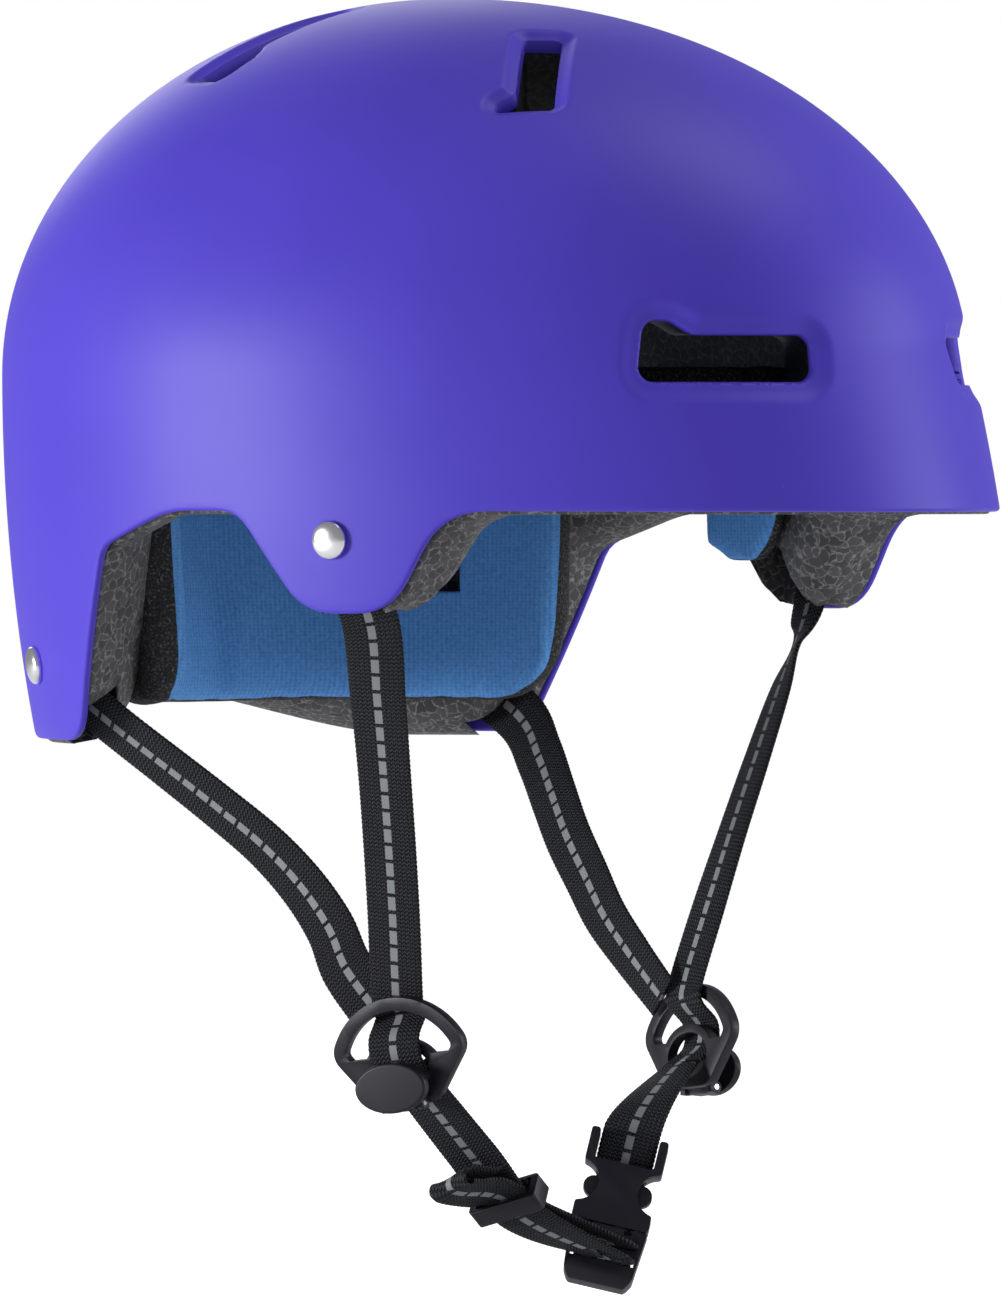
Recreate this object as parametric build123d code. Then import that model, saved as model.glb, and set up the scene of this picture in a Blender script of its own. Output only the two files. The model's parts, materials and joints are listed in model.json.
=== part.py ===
"""Skateboard helmet: hard shell, foam liner, comfort pads and a webbing harness with a side-release buckle.

Millimetres. +Z is up, the wearer looks along -Y and the wearer's left is +X. The origin is the centre of
the level where the helmet is widest, on the plane that parts left from right.
"""
import os
from dataclasses import dataclass, replace
from math import asin, cos, degrees, pi, radians, sin, sqrt

from build123d import *

# Outer form of the shell, measured from the origin
half_width = 104.2
front_reach = 153.4
rear_reach = 124.3
crown_height = 97.3
side_taper_depth = 247.0
brim_top = 8.0
brim_level = 35.4
brim_flare = 13.8

# Side view of the lower edge: stations along Y and depths below the origin
rear_lobe_level = 94.8
rear_lobe_front = 48.5
rear_lobe_radius = 11.0
side_arch_rear = 30.0
side_arch_rear_level = 44.8
side_arch_rear_radius = 9.0
side_arch_crest = 3.0
side_arch_crest_radius = 40.0
side_arch_front = 20.5
side_arch_level = 35.4
side_arch_radius = 9.0
ear_lobe_rear = 39.5
ear_lobe_front = 63.5
ear_lobe_level = 61.3
ear_lobe_radius = 10.5
brim_corner = 79.0
brim_corner_radius = 8.0
back_arch_rise = 13.8
back_arch_half_span = 62.0

# Walls and gaps of the shell and the liner
shell_wall = 3.2
liner_gap = 0.3
liner_rim_inset = 1.2
liner_half_width = 82.0
liner_front_reach = 123.0
liner_rear_reach = 97.0
liner_crown_height = 72.0
liner_crown_block_level = 30.0
liner_front_block_station = -92.0
liner_rear_block_station = 36.0
overrun = 8.0

# Vents: each opening is a slot whose one end widens in a slanted step
vent_recess_depth = 2.0
vent_recess_margin = 3.2
vent_corner = 2.0
vent_step_run = 5.5
vent_step_radius = 5.0
vent_end_radius = 4.5
front_vent_length = 45.4
front_vent_height = 12.3
front_vent_step = 3.4
front_vent_step_length = 9.0
front_vent_centre_height = 2.75
crown_front_vent_length = 37.0
crown_front_vent_width = 10.2
crown_front_vent_step = 5.0
crown_front_vent_step_length = 2.5
crown_front_vent_end_radius = 1.5
crown_front_vent_step_radius = 2.0
crown_rear_vent_length = 44.6
crown_rear_vent_width = 12.0
crown_rear_vent_step = 4.6
crown_rear_vent_step_length = 9.0
back_vent_length = 34.0
back_vent_height = 11.0
back_vent_corner = 4.0
back_vent_centre_height = 8.0

# Where each kind of vent looks: share of the half width and of the reach, as seen from above
front_vent_shares = (-0.45, -0.885)
crown_front_shares = (-0.40, -0.447)
crown_rear_shares = (-0.384, 0.197)
back_vent_shares = (-0.37, 0.88)

# Pads
pad_gap = 0.3
pad_foam = 11.0
pad_cover = 1.4
laminate_gap = 0.1
thin_pad_foam = 6.0
rear_pad_top = -16.0
rear_pad_bottom = -86.5
rear_pad_near_end = 40.0
rear_pad_far_end = 24.0
rear_pad_corner = 11.0
rear_pad_window_width = 11.0
rear_pad_window_height = 16.0
rear_pad_window_corner = 2.0
rear_pad_window_level = -49.0
rear_pad_window_share = 0.62
side_pad_front = 55.0
side_pad_rear = 20.0
side_pad_top = 14.0
side_pad_bottom = -43.5
side_pad_corner = 11.0
front_pad_half_span = 52.0
front_pad_top = 2.0
front_pad_bottom = -24.0
front_pad_corner = 7.0
crown_pad_length = 92.0
crown_pad_width = 70.0
crown_pad_corner = 24.0

# Rivets
rivet_cap_diameter = 9.8
rivet_cap_height = 2.4
rivet_cap_rim = 0.7
rivet_post_diameter = 4.0
rivet_hole_clearance = 0.1
rivet_washer_diameter = 9.0
rivet_washer_thickness = 1.0
rivet_seat = 0.15
ear_rivet_station = -48.6
ear_rivet_level = -42.7
rear_rivet_station = 71.0
rear_rivet_level = -75.4

# Webbing
web_width = 15.0
web_thickness = 1.5
web_gap = 0.35
web_seat = 0.9
web_slot_width = 18.0
web_slot_depth = 10.0
web_end_length = 6.5
ear_exit = (85.3, -50.6, -63.5)
rear_exit = (76.8, 46.0, -90.5)
ear_web_bow = 2.5
rear_web_bow = 12.0
ear_web_steps = 5
rear_web_steps = 7
chin_web_steps = 5
rear_web_layers = 1.5
crescent_entry_drop = 2.0
hole_entry_rise = 2.6
hole_exit_drop = 2.0
loop_shares = (0, 0.25, 0.5, 0.75, 1)

# Strap divider, a shield-shaped frame with a crescent slot and an oval hole
divider_centre = (57.0, -35.5, -173.0)
divider_toe_in = 12.8
divider_roll = 6.5
divider_lean = 7.0
divider_width = 39.0
divider_apex = 14.0
divider_foot = 13.5
divider_thickness = 3.0
divider_rim = 3.4
divider_shoulder_radius = 5.0
divider_foot_half_width = 9.0
divider_hole_width = 17.0
divider_hole_height = 12.0
divider_hole_level = -5.0
divider_ring = 2.3
lever_width = 20.5
lever_height = 13.0
lever_thickness = 2.4
lever_standoff = 6.6
lever_barrel_diameter = 3.0
lever_barrel_length = 9.0
lever_pin_diameter = 1.5
lever_ear_thickness = 2.0
lever_side_gap = 0.15
lever_pin_clearance = 0.05

# Side-release buckle
socket_top = (29.3, -38.0, -199.0)
tongue_foot = (15.4, -38.0, -236.2)
buckle_turn = 40.0
buckle_width = 20.4
buckle_thickness = 7.6
socket_length = 25.0
socket_waist = 10.6
socket_waist_radius = 5.6
socket_waist_level = 10.5
socket_horn_length = 8.0
socket_corner = 0.8
web_grip = 1.2
tongue_base_length = 15.6
tongue_gap = 0.5
tongue_bar = 2.8
tongue_window = 3.6
tongue_window_width = 17.0
tongue_middle_bar = 2.4
prong_reach = 15.0
prong_width = 2.4
prong_thickness = 3.4
prong_root_offset = 5.2
prong_shoulder_diameter = 5.4
prong_shoulder_level = 10.0
prong_pivot_diameter = 2.0
prong_throat = 1.5
prong_clearance = 0.25
guide_width = 2.6
guide_length = 12.0

# Web keeper on the wearer's right chin web, and the folded tail that it holds
keeper_place = (-17.1, -37.0, -212.6)
keeper_turn = 20.0
keeper_width = 20.0
keeper_length = 9.0
keeper_wall = 1.3
keeper_layers = 3
tail_end = (-45.0, -34.5, -209.5)
tail_fold_radius = 1.9
tail_return_share = 0.3
tail_drop = 0.75
web_lead = 2.6
keeper_travel = 12.0


@dataclass
class Form:
    """A helmet-shaped form: two half ellipsoids above, slow tapering half-ellipse sections below."""
    width: float
    front: float
    rear: float
    height: float
    flare: float

    def inset(self, amount):
        return replace(self, width=self.width - amount, front=self.front - amount,
                       rear=self.rear - amount, height=self.height - amount)

    def section(self, level):
        """Half width, front reach and rear reach of the horizontal section at a level."""
        depth = self.height if level > 0 else side_taper_depth
        share = sqrt(1 - (level / depth) ** 2)
        growth = min(max(brim_top - level, 0) / (brim_top + brim_level), 1) * self.flare
        return self.width * share, self.front * share + growth, self.rear * share

    def side_point(self, side, station, level):
        """Point on the form at a station along Y, and the direction straight out of it."""
        half, front, rear = self.section(level)
        reach = front if station < 0 else rear
        x = half * sqrt(1 - (station / reach) ** 2)
        fall = level / side_taper_depth ** 2
        out = Vector(side * x / half ** 2, station / reach ** 2, fall)
        return Vector(side * x, station, level), out.normalized()

    def top_point(self, shares):
        """Point above the given shares of half width and reach, and the direction straight out of it."""
        x = shares[0] * self.width
        reach = self.front if shares[1] < 0 else self.rear
        y = shares[1] * reach
        rise = sqrt(max(1 - shares[0] ** 2 - shares[1] ** 2, 0))
        z = self.height * rise
        out = Vector(x / self.width ** 2, y / reach ** 2, z / self.height ** 2)
        return Vector(x, y, z), out.normalized()


shell_form = Form(half_width, front_reach, rear_reach, crown_height, brim_flare)
shell_inner_form = shell_form.inset(shell_wall)
liner_form = shell_form.inset(shell_wall + liner_gap)
cavity_form = Form(liner_half_width, liner_front_reach, liner_rear_reach, liner_crown_height, 0)
skirt_bottom = -(rear_lobe_level + overrun)


def section_face(form, level):
    half, front, rear = form.section(level)
    front_arc = CenterArc((0, 0), 1, 180, 180)
    rear_arc = CenterArc((0, 0), 1, 0, 180)
    front_edge = scale(front_arc, by=(half, front, 1))
    rear_edge = scale(rear_arc, by=(half, rear, 1))
    return Pos(0, 0, level) * make_face(front_edge + rear_edge)


def dome(form):
    """The closed solid inside a form, from its crown down to the bottom of the skirt."""
    start = degrees(asin(brim_top / form.height))
    quarter = Sphere(1, start, 90, 180, align=None)
    rear = scale(quarter, by=(form.width, form.rear, form.height))
    front = mirror(scale(quarter, by=(form.width, form.front, form.height)), about=Plane.XZ)
    level_shares = (0, 0.13, 0.27, 0.40, 0.55, 0.75, 1)
    levels = [brim_top + share * (skirt_bottom - brim_top) for share in level_shares]
    skirt = loft([section_face(form, level) for level in levels])
    return rear + front + skirt


def rounded_polygon(corners, radii):
    """A closed outline through its corners, each rounded by its own radius."""
    return make_face(FilletPolyline(*corners, radius=radii, close=True))


def lower_edge_prism(raise_by):
    """Everything above the helmet's lower edge as the side view shows it."""
    left, right = -(front_reach + brim_flare + overrun), rear_reach + overrun
    brim, lobe = -brim_level + raise_by, -rear_lobe_level + raise_by
    edge = FilletPolyline(
        (left, brim),
        (-brim_corner, brim),
        (-ear_lobe_front, -ear_lobe_level + raise_by),
        (-ear_lobe_rear, -ear_lobe_level + raise_by),
        (-side_arch_front, -side_arch_level + raise_by),
        (side_arch_crest, -side_arch_level + raise_by),
        (side_arch_rear, -side_arch_rear_level + raise_by),
        (rear_lobe_front, lobe),
        (right, lobe),
        radius=[brim_corner_radius, ear_lobe_radius, ear_lobe_radius, side_arch_radius,
                side_arch_crest_radius, side_arch_rear_radius, rear_lobe_radius],
    )
    top = crown_height + overrun
    closing = Polyline((right, lobe), (right, top), (left, top), (left, brim))
    face = make_face(edge + closing)
    span = half_width + overrun
    return extrude(Plane.YZ * face, amount=span, both=True)


def back_arch_cut(raise_by):
    """The shallow arch in the lower edge between the two rear lobes."""
    low = -rear_lobe_level + raise_by
    arc = ThreePointArc((-back_arch_half_span, low), (0, low + back_arch_rise), (back_arch_half_span, low))
    closing = Polyline((back_arch_half_span, low), (back_arch_half_span, skirt_bottom - overrun),
                       (-back_arch_half_span, skirt_bottom - overrun), (-back_arch_half_span, low))
    face = make_face(arc + closing)
    plane = Plane((0, rear_lobe_front, 0), x_dir=(-1, 0, 0), z_dir=(0, 1, 0))
    return extrude(plane * face, amount=rear_reach)


def vent_outline(length, height, step, step_length, end_radius, step_radius):
    """A slot along x, whose end at the low x is taller by a step on the side of y."""
    rear, front = -length / 2, length / 2
    low, high = -height / 2, height / 2
    foot = rear + step_length
    corners = [(rear, low), (front, low), (front, high), (foot + vent_step_run, high), (foot, high + step),
               (rear, high + step)]
    radii = [end_radius, vent_corner, vent_corner, step_radius, step_radius, end_radius]
    return rounded_polygon(corners, radii)


def level_vent_plane(shares, height):
    """A vent's plane that stands upright on the form at a height, with x level and to the front."""
    point, out = shell_form.top_point(shares)
    level_out = Vector(out.X, out.Y, 0).normalized()
    forward = Vector(-level_out.Y, level_out.X, 0)
    return Plane((point.X, point.Y, height), x_dir=forward, z_dir=level_out)


def crown_vent_plane(shares):
    """A vent's plane that touches the form, with x straight up the slope."""
    point, out = shell_form.top_point(shares)
    uphill = Vector(-out.X, -out.Y, 0)
    return Plane(point, x_dir=uphill - out * uphill.dot(out), z_dir=out)


def vents():
    """Each vent as its plane on the outer form and its outline, for the wearer's right side."""
    front = vent_outline(front_vent_length, front_vent_height, front_vent_step, front_vent_step_length,
                         vent_end_radius, vent_step_radius)
    crown_front = vent_outline(crown_front_vent_length, crown_front_vent_width, crown_front_vent_step,
                               crown_front_vent_step_length, crown_front_vent_end_radius,
                               crown_front_vent_step_radius)
    crown_rear = vent_outline(crown_rear_vent_length, crown_rear_vent_width, crown_rear_vent_step,
                              crown_rear_vent_step_length, vent_end_radius, vent_step_radius)
    back = RectangleRounded(back_vent_length, back_vent_height, back_vent_corner)
    return [(level_vent_plane(front_vent_shares, front_vent_centre_height), front),
            (crown_vent_plane(crown_front_shares), crown_front),
            (crown_vent_plane(crown_rear_shares), mirror(crown_rear, about=Plane.XZ)),
            (level_vent_plane(back_vent_shares, back_vent_centre_height), back)]


def both_sides(shape):
    return [shape, mirror(shape, about=Plane.YZ)]


def vent_tools():
    """Through cuts for the openings, and wider cuts for the recess round each opening."""
    holes, recesses = [], []
    reach = liner_form.height / 2
    inside = dome(shell_form.inset(vent_recess_depth))
    for plane, outline in vents():
        hole = plane * extrude(Pos(0, 0, -reach) * outline, amount=reach + overrun)
        wide = offset(outline, amount=vent_recess_margin)
        pocket = plane * extrude(Pos(0, 0, -overrun) * wide, amount=2 * overrun)
        holes += both_sides(hole)
        recesses += both_sides(pocket - inside)
    return holes, recesses


def rivet_places():
    """Side, station and level of the four strap rivets."""
    places = {"ear": (ear_rivet_station, ear_rivet_level), "rear": (rear_rivet_station, rear_rivet_level)}
    return {name: [(side, *place) for side in (-1, 1)] for name, place in places.items()}


def rivet_plane(form, side, station, level):
    point, out = form.side_point(side, station, level)
    return Plane(point, x_dir=(0, 0, 1), z_dir=out)


def make_shell(holes, recesses):
    shell = dome(shell_form) - dome(shell_inner_form)
    shell = (shell & lower_edge_prism(0)) - back_arch_cut(0)
    for tool in holes + recesses:
        shell -= tool
    hole_radius = rivet_post_diameter / 2 + rivet_hole_clearance
    for places in rivet_places().values():
        for place in places:
            drill = Cylinder(hole_radius, 2 * overrun)
            shell -= rivet_plane(shell_form, *place) * drill
    return shell


def web_start(side, name):
    """A web's riveted end inside the shell: its frame at the rivet and the point where it leaves."""
    places = {"ear": (ear_rivet_station, ear_rivet_level, ear_exit),
              "rear": (rear_rivet_station, rear_rivet_level, rear_exit)}
    station, level, exit_place = places[name]
    point, out = shell_form.side_point(side, station, level)
    rivet = point - out * (shell_wall + web_seat + web_thickness / 2)
    leave = Vector(side * exit_place[0], exit_place[1], exit_place[2])
    along = leave - rivet
    along = (along - out * along.dot(out)).normalized()
    return rivet, along, out, leave


def web_pocket(side, name):
    """Room in the liner for a web's riveted end and its way out over the lower edge."""
    rivet, along, out, leave = web_start(side, name)
    top = web_end_length + web_gap
    length = top + (leave - rivet).length + overrun
    box = Pos(length / 2 - top, 0, 0) * Box(length, web_slot_width, 2 * web_slot_depth)
    return Plane(rivet, x_dir=along, z_dir=out) * box


def make_liner(holes):
    liner = dome(liner_form) - dome(cavity_form)
    liner = (liner & lower_edge_prism(liner_rim_inset)) - back_arch_cut(liner_rim_inset)
    for tool in holes:
        liner -= tool
    for side in (-1, 1):
        liner -= web_pocket(side, "ear")
        liner -= web_pocket(side, "rear")
    return liner


def liner_blocks(liner):
    """The liner as blocks that seat face to face, so that each block's collision follows its own wall."""
    span = 2 * (front_reach + overrun)
    room = Box(span, span, span)
    crown = liner & (Pos(0, 0, liner_crown_block_level + span / 2) * room)
    ring = liner & (Pos(0, 0, liner_crown_block_level - span / 2) * room)
    front = ring & (Pos(0, liner_front_block_station - span / 2, 0) * room)
    rear = ring & (Pos(0, liner_rear_block_station + span / 2, 0) * room)
    length = liner_rear_block_station - liner_front_block_station
    middle = (liner_rear_block_station + liner_front_block_station) / 2
    sides = ring & (Pos(0, middle, 0) * Box(span, length, span))
    right = sides & (Pos(-span / 2, 0, 0) * room)
    left = sides & (Pos(span / 2, 0, 0) * room)
    return {"liner_crown": crown, "liner_front": front, "liner_rear": rear, "liner_right": right,
            "liner_left": left}


def rivet_cap():
    """Domed cap with its post, built on the shell's outer face and pointing in along -Z."""
    radius, rim, rise = rivet_cap_diameter / 2, rivet_cap_rim, rivet_cap_height
    post = rivet_post_diameter / 2
    reach = shell_wall + web_seat + web_thickness + web_gap + rivet_washer_thickness
    sphere = (radius ** 2 + (rise - rim) ** 2) / (2 * (rise - rim))
    half_turn = asin(radius / sphere) / 2
    middle = rivet_seat + rise - sphere * (1 - cos(half_turn))
    profile = Polyline((0, -reach), (post, -reach), (post, rivet_seat), (radius, rivet_seat),
                       (radius, rivet_seat + rim))
    crown = ThreePointArc((radius, rivet_seat + rim), (sphere * sin(half_turn), middle), (0, rivet_seat + rise))
    axis = Line((0, rivet_seat + rise), (0, -reach))
    return revolve(Plane.XZ * make_face(profile + crown + axis), Axis.Z)


def rivet_washer():
    outer = Cylinder(rivet_washer_diameter / 2, rivet_washer_thickness)
    bore = Cylinder(rivet_post_diameter / 2 + rivet_hole_clearance, 2 * rivet_washer_thickness)
    depth = shell_wall + web_seat + web_thickness + web_gap + rivet_washer_thickness / 2
    return Pos(0, 0, -depth) * (outer - bore)


def rivet_group(name, piece):
    return Compound([rivet_plane(shell_form, *place) * piece for place in rivet_places()[name]])


def pad_layers(foam_thickness):
    """The two nested rings that pads are cut from: foam against the liner, cover on its inner face."""
    back = cavity_form.inset(pad_gap)
    face = back.inset(foam_thickness)
    cover_back = face.inset(laminate_gap)
    cover_face = cover_back.inset(pad_cover)
    return dome(back) - dome(face), dome(cover_back) - dome(cover_face)


def side_outline(front, rear, low, high, radius):
    """A rounded rectangle in the side view, between two stations and two levels."""
    middle = ((front + rear) / 2, (low + high) / 2)
    return Pos(*middle) * RectangleRounded(rear - front, high - low, radius)


def side_prism(outline, side):
    reach = half_width + overrun
    return extrude(Plane.YZ * outline, amount=side * reach)


def rear_pad_region():
    """The wrap pad reaches further forward on the wearer's left than on the right, as it was pressed in."""
    region = None
    for side, end in ((-1, rear_pad_near_end), (1, rear_pad_far_end)):
        outline = side_outline(end, rear_reach + overrun, rear_pad_bottom, rear_pad_top, rear_pad_corner)
        half = side_prism(outline, side)
        region = half if region is None else region + half
    for side in (-1, 1):
        station = rear_pad_window_share * liner_rear_reach
        half = liner_half_width * sqrt(1 - rear_pad_window_share ** 2)
        out = Vector(side * half, station, 0)
        plane = Plane((0, 0, rear_pad_window_level), x_dir=(0, 0, 1), z_dir=out)
        window = RectangleRounded(rear_pad_window_height, rear_pad_window_width, rear_pad_window_corner)
        region -= plane * extrude(window, amount=rear_reach + overrun)
    return region


def front_pad_region():
    outline = RectangleRounded(2 * front_pad_half_span, front_pad_top - front_pad_bottom, front_pad_corner)
    outline = Pos(0, (front_pad_top + front_pad_bottom) / 2) * outline
    return extrude(Plane.XZ * outline, amount=front_reach)


def crown_pad_region():
    outline = RectangleRounded(crown_pad_width, crown_pad_length, crown_pad_corner)
    return extrude(outline, amount=crown_height)


def unit(vector):
    return vector.normalized()


def ribbon(stations, width=web_width, thickness=web_thickness):
    """A flat web lofted through stations, each a point and the direction of its width."""
    faces = []
    last = len(stations) - 1
    for index, (point, across) in enumerate(stations):
        before = stations[max(index - 1, 0)][0]
        after = stations[min(index + 1, last)][0]
        along = unit(after - before)
        flat = unit(across - along * across.dot(along))
        plane = Plane(point, x_dir=flat, z_dir=along)
        faces.append(plane * Rectangle(width, thickness))
    return loft(faces, ruled=True)


def bent_line(start, control, end, count):
    """Points along a curve that leaves start toward control and reaches end from it."""
    points = []
    for step in range(count + 1):
        t = step / count
        points.append(start * (1 - t) ** 2 + control * (2 * t * (1 - t)) + end * t ** 2)
    return points


def turned(first, second, share):
    return unit(first * (1 - share) + second * share)


def divider_plane(side):
    """Divider frame at rest: local x runs to the front, y up and z outward."""
    toe, roll, lean = radians(divider_toe_in), radians(divider_roll), radians(divider_lean)
    across = unit(Vector(-side * sin(toe), -cos(toe), sin(roll)))
    up = Vector(side * sin(lean), 0, cos(lean))
    up = unit(up - across * up.dot(across))
    out = across.cross(up) * -side
    centre = Vector(side * divider_centre[0], divider_centre[1], divider_centre[2])
    return centre, across, up, out


def local_point(frame, x, y, z):
    centre, across, up, out = frame
    return centre + across * x + up * y + out * z


def place_divider(piece, side):
    """Pieces are drawn for the wearer's right side and mirrored for the left."""
    centre, across, up, out = divider_plane(-1)
    placed = Plane(centre, x_dir=across, z_dir=across.cross(up)) * piece
    return placed if side < 0 else mirror(placed, about=Plane.YZ)


def divider_frame():
    shoulder = divider_width / 2
    waist = divider_foot_half_width
    arch = ThreePointArc((-shoulder, 0), (0, divider_apex), (shoulder, 0))
    sides = Polyline((shoulder, 0), (waist, -divider_foot), (-waist, -divider_foot), (-shoulder, 0))
    outline = make_face(arch + sides)
    outline = fillet(outline.vertices(), radius=divider_shoulder_radius)
    hole = Pos(0, divider_hole_level) * Ellipse(divider_hole_width / 2, divider_hole_height / 2)
    ring = Pos(0, divider_hole_level) * Ellipse(divider_hole_width / 2 + divider_ring,
                                                divider_hole_height / 2 + divider_ring)
    inner = offset(outline, amount=-divider_rim)
    band = Pos(0, divider_apex / 2) * Rectangle(divider_width, divider_apex + divider_ring)
    crescent = (inner & band) - ring
    frame = extrude(outline - hole - crescent, amount=divider_thickness / 2, both=True)
    ears = lever_ears()
    return frame + ears


def lever_axis_local():
    """Hinge axis of the lever, in the divider's own coordinates: height and distance outward."""
    low = divider_hole_level - divider_hole_height / 2 - divider_ring
    return low, lever_standoff - lever_barrel_diameter


def lever_ears():
    level, out = lever_axis_local()
    inner = lever_barrel_length / 2 + lever_side_gap
    middle = inner + lever_ear_thickness / 2
    base = divider_thickness / 2
    tip = lever_barrel_diameter / 2
    profile = Pos(level, (base + out) / 2) * Rectangle(2 * tip, out - base)
    profile = profile + Pos(level, out) * Circle(tip)
    profile = profile - Pos(level, out) * Circle(lever_pin_diameter / 2)
    ear = extrude(Plane.YZ * profile, amount=lever_ear_thickness / 2, both=True)
    return Pos(middle, 0, 0) * ear + Pos(-middle, 0, 0) * ear


def lever_pin():
    level, out = lever_axis_local()
    length = lever_barrel_length + 2 * (lever_side_gap + lever_ear_thickness)
    pin = Cylinder(lever_pin_diameter / 2 - lever_pin_clearance, length)
    return Pos(0, level, out) * Rot(0, 90, 0) * pin


def divider_lever():
    level, out = lever_axis_local()
    centre = divider_hole_level - divider_hole_height / 2 - divider_ring + lever_height / 2
    centre -= lever_barrel_diameter / 2
    pad = Pos(0, centre) * Ellipse(lever_width / 2, lever_height / 2)
    plate = Pos(0, 0, lever_standoff) * extrude(pad, amount=lever_thickness)
    plate = fillet(plate.edges().group_by(Axis.Z)[-1], radius=lever_thickness / 3)
    barrel = Pos(0, level, out) * Rot(0, 90, 0) * Cylinder(lever_barrel_diameter / 2, lever_barrel_length)
    neck_height = lever_standoff - out
    neck = Box(lever_barrel_length, lever_barrel_diameter, neck_height)
    neck = Pos(0, level, out + neck_height / 2) * neck
    bore = Pos(0, level, out) * Rot(0, 90, 0) * Cylinder(lever_pin_diameter / 2, 2 * lever_barrel_length)
    return plate + neck + barrel - bore


def buckle_frame():
    """Buckle axes: along runs up from the tongue to the socket, across is the width, out the thickness."""
    foot, top = Vector(*tongue_foot), Vector(*socket_top)
    along = unit(top - foot)
    level = unit(Vector(0, -1, 0) - along * Vector(0, -1, 0).dot(along))
    side = along.cross(level)
    turn = radians(buckle_turn)
    across = unit(level * cos(turn) + side * sin(turn))
    out = across.cross(along)
    joint = foot + along * tongue_base_length
    return joint, across, along, out


def buckle_place(piece):
    """Buckle pieces are drawn with z along the buckle, from the gap between tongue base and socket."""
    joint, across, along, out = buckle_frame()
    return Plane(joint, x_dir=across, z_dir=along) * piece


def socket_outline():
    half, waist = buckle_width / 2, socket_waist / 2
    low, top = tongue_gap, socket_length
    level, radius = socket_waist_level, socket_waist_radius
    horn_inner = web_width / 2 + web_gap
    base = Polyline((-half, low), (half, low), (half, top), (horn_inner, top),
                    (horn_inner, top - socket_horn_length), (-horn_inner, top - socket_horn_length),
                    (-horn_inner, top), (-half, top), (-half, low))
    face = make_face(base)
    for side in (-1, 1):
        face -= Pos(side * (waist + radius), level) * Circle(radius)
    return face


def buckle_socket():
    outline = Plane.XZ * socket_outline()
    body = extrude(outline, amount=buckle_thickness / 2, both=True)
    body = fillet(body.edges().filter_by(Axis.Y), radius=socket_corner)
    room = 2 * (prong_root_offset + prong_width / 2 + prong_clearance)
    depth = prong_thickness + 2 * prong_clearance
    length = prong_reach + prong_clearance
    body -= Pos(0, 0, length / 2) * Box(room, depth, length)
    slot = Box(web_width + 2 * web_gap, web_thickness + 2 * web_gap, 2 * web_grip)
    return body - Pos(0, 0, socket_length - socket_horn_length) * slot


def tongue_window_levels():
    """Middles of the two web windows of the tongue base, from the buckle's joint plane."""
    low = -tongue_base_length + tongue_bar + tongue_window / 2
    return low, low + tongue_window + tongue_middle_bar


def buckle_tongue():
    base = Pos(0, 0, -tongue_base_length / 2) * Box(buckle_width, buckle_thickness, tongue_base_length)
    base = fillet(base.edges().group_by(Axis.Z)[0], radius=tongue_bar / 2)
    window = Box(tongue_window_width, 2 * buckle_thickness, tongue_window)
    for level in tongue_window_levels():
        base -= Pos(0, 0, level) * window
    guide = Pos(0, 0, guide_length / 2) * Box(guide_width, prong_thickness, guide_length)
    tongue = base + guide
    seat = Cylinder(prong_pivot_diameter / 2 + lever_pin_clearance, 2 * buckle_thickness)
    throat = Box(prong_throat, 2 * buckle_thickness, prong_pivot_diameter)
    for side in (-1, 1):
        tongue -= Pos(side * prong_root_offset, 0, -prong_pivot_diameter / 2) * Rot(90, 0, 0) * seat
        tongue -= Pos(side * prong_root_offset, 0, 0) * throat
    return tongue


def buckle_prong(side):
    """One sprung arm of the tongue, with the round shoulder that shows in the socket's side window."""
    root = tongue_gap / 2
    pivot = -prong_pivot_diameter / 2
    half = prong_width / 2
    arm = Polyline((-half, root), (half, root), (half, prong_reach), (-half, prong_reach), (-half, root))
    shoulder = Pos(half, prong_shoulder_level) * Circle(prong_shoulder_diameter / 2)
    neck = Pos(0, (root + pivot) / 2) * Rectangle(prong_pivot_diameter / 2, root - pivot)
    face = make_face(arm) + shoulder + Pos(0, pivot) * Circle(prong_pivot_diameter / 2) + neck
    body = Pos(prong_root_offset, 0, 0) * extrude(Plane.XZ * face, amount=prong_thickness / 2, both=True)
    return body if side > 0 else mirror(body, about=Plane.YZ)


def facing(direction, other):
    """The direction, or its opposite, whichever lies nearer the other one."""
    return direction if direction.dot(other) > 0 else direction * -1


def hole_passage(frame):
    """Where the ear web goes into the divider's hole from the front, and where it comes out behind."""
    offset_out = divider_thickness / 2 + web_thickness / 2 + web_gap
    return [local_point(frame, 0, divider_hole_level + hole_entry_rise, offset_out),
            local_point(frame, 0, divider_hole_level - hole_exit_drop, -offset_out)]


def ear_web(side):
    """From the ear rivet down inside the shell, out of the liner, through the divider's two openings."""
    rivet, along, out, leave = web_start(side, "ear")
    top = rivet - along * web_end_length
    clear = rivet + along * web_end_length
    frame = divider_plane(side)
    offset_out = divider_thickness / 2 + web_thickness / 2 + web_gap
    crossbar_top = divider_hole_level + divider_hole_height / 2 + divider_ring
    above = local_point(frame, 0, divider_apex, -offset_out)
    passage = [local_point(frame, 0, divider_apex - divider_rim - crescent_entry_drop, -offset_out),
               local_point(frame, 0, crossbar_top + web_gap, offset_out)]
    passage += hole_passage(frame)
    control = (leave + above) / 2 + Vector(-side * ear_web_bow, 0, 0)
    points = [top, rivet, clear] + bent_line(leave, control, above, ear_web_steps) + passage
    start_across = facing(out.cross(along), frame[1])
    last = len(points) - 1 - len(passage)
    return [(point, turned(start_across, frame[1], min(index / last, 1)))
            for index, point in enumerate(points)]


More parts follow.
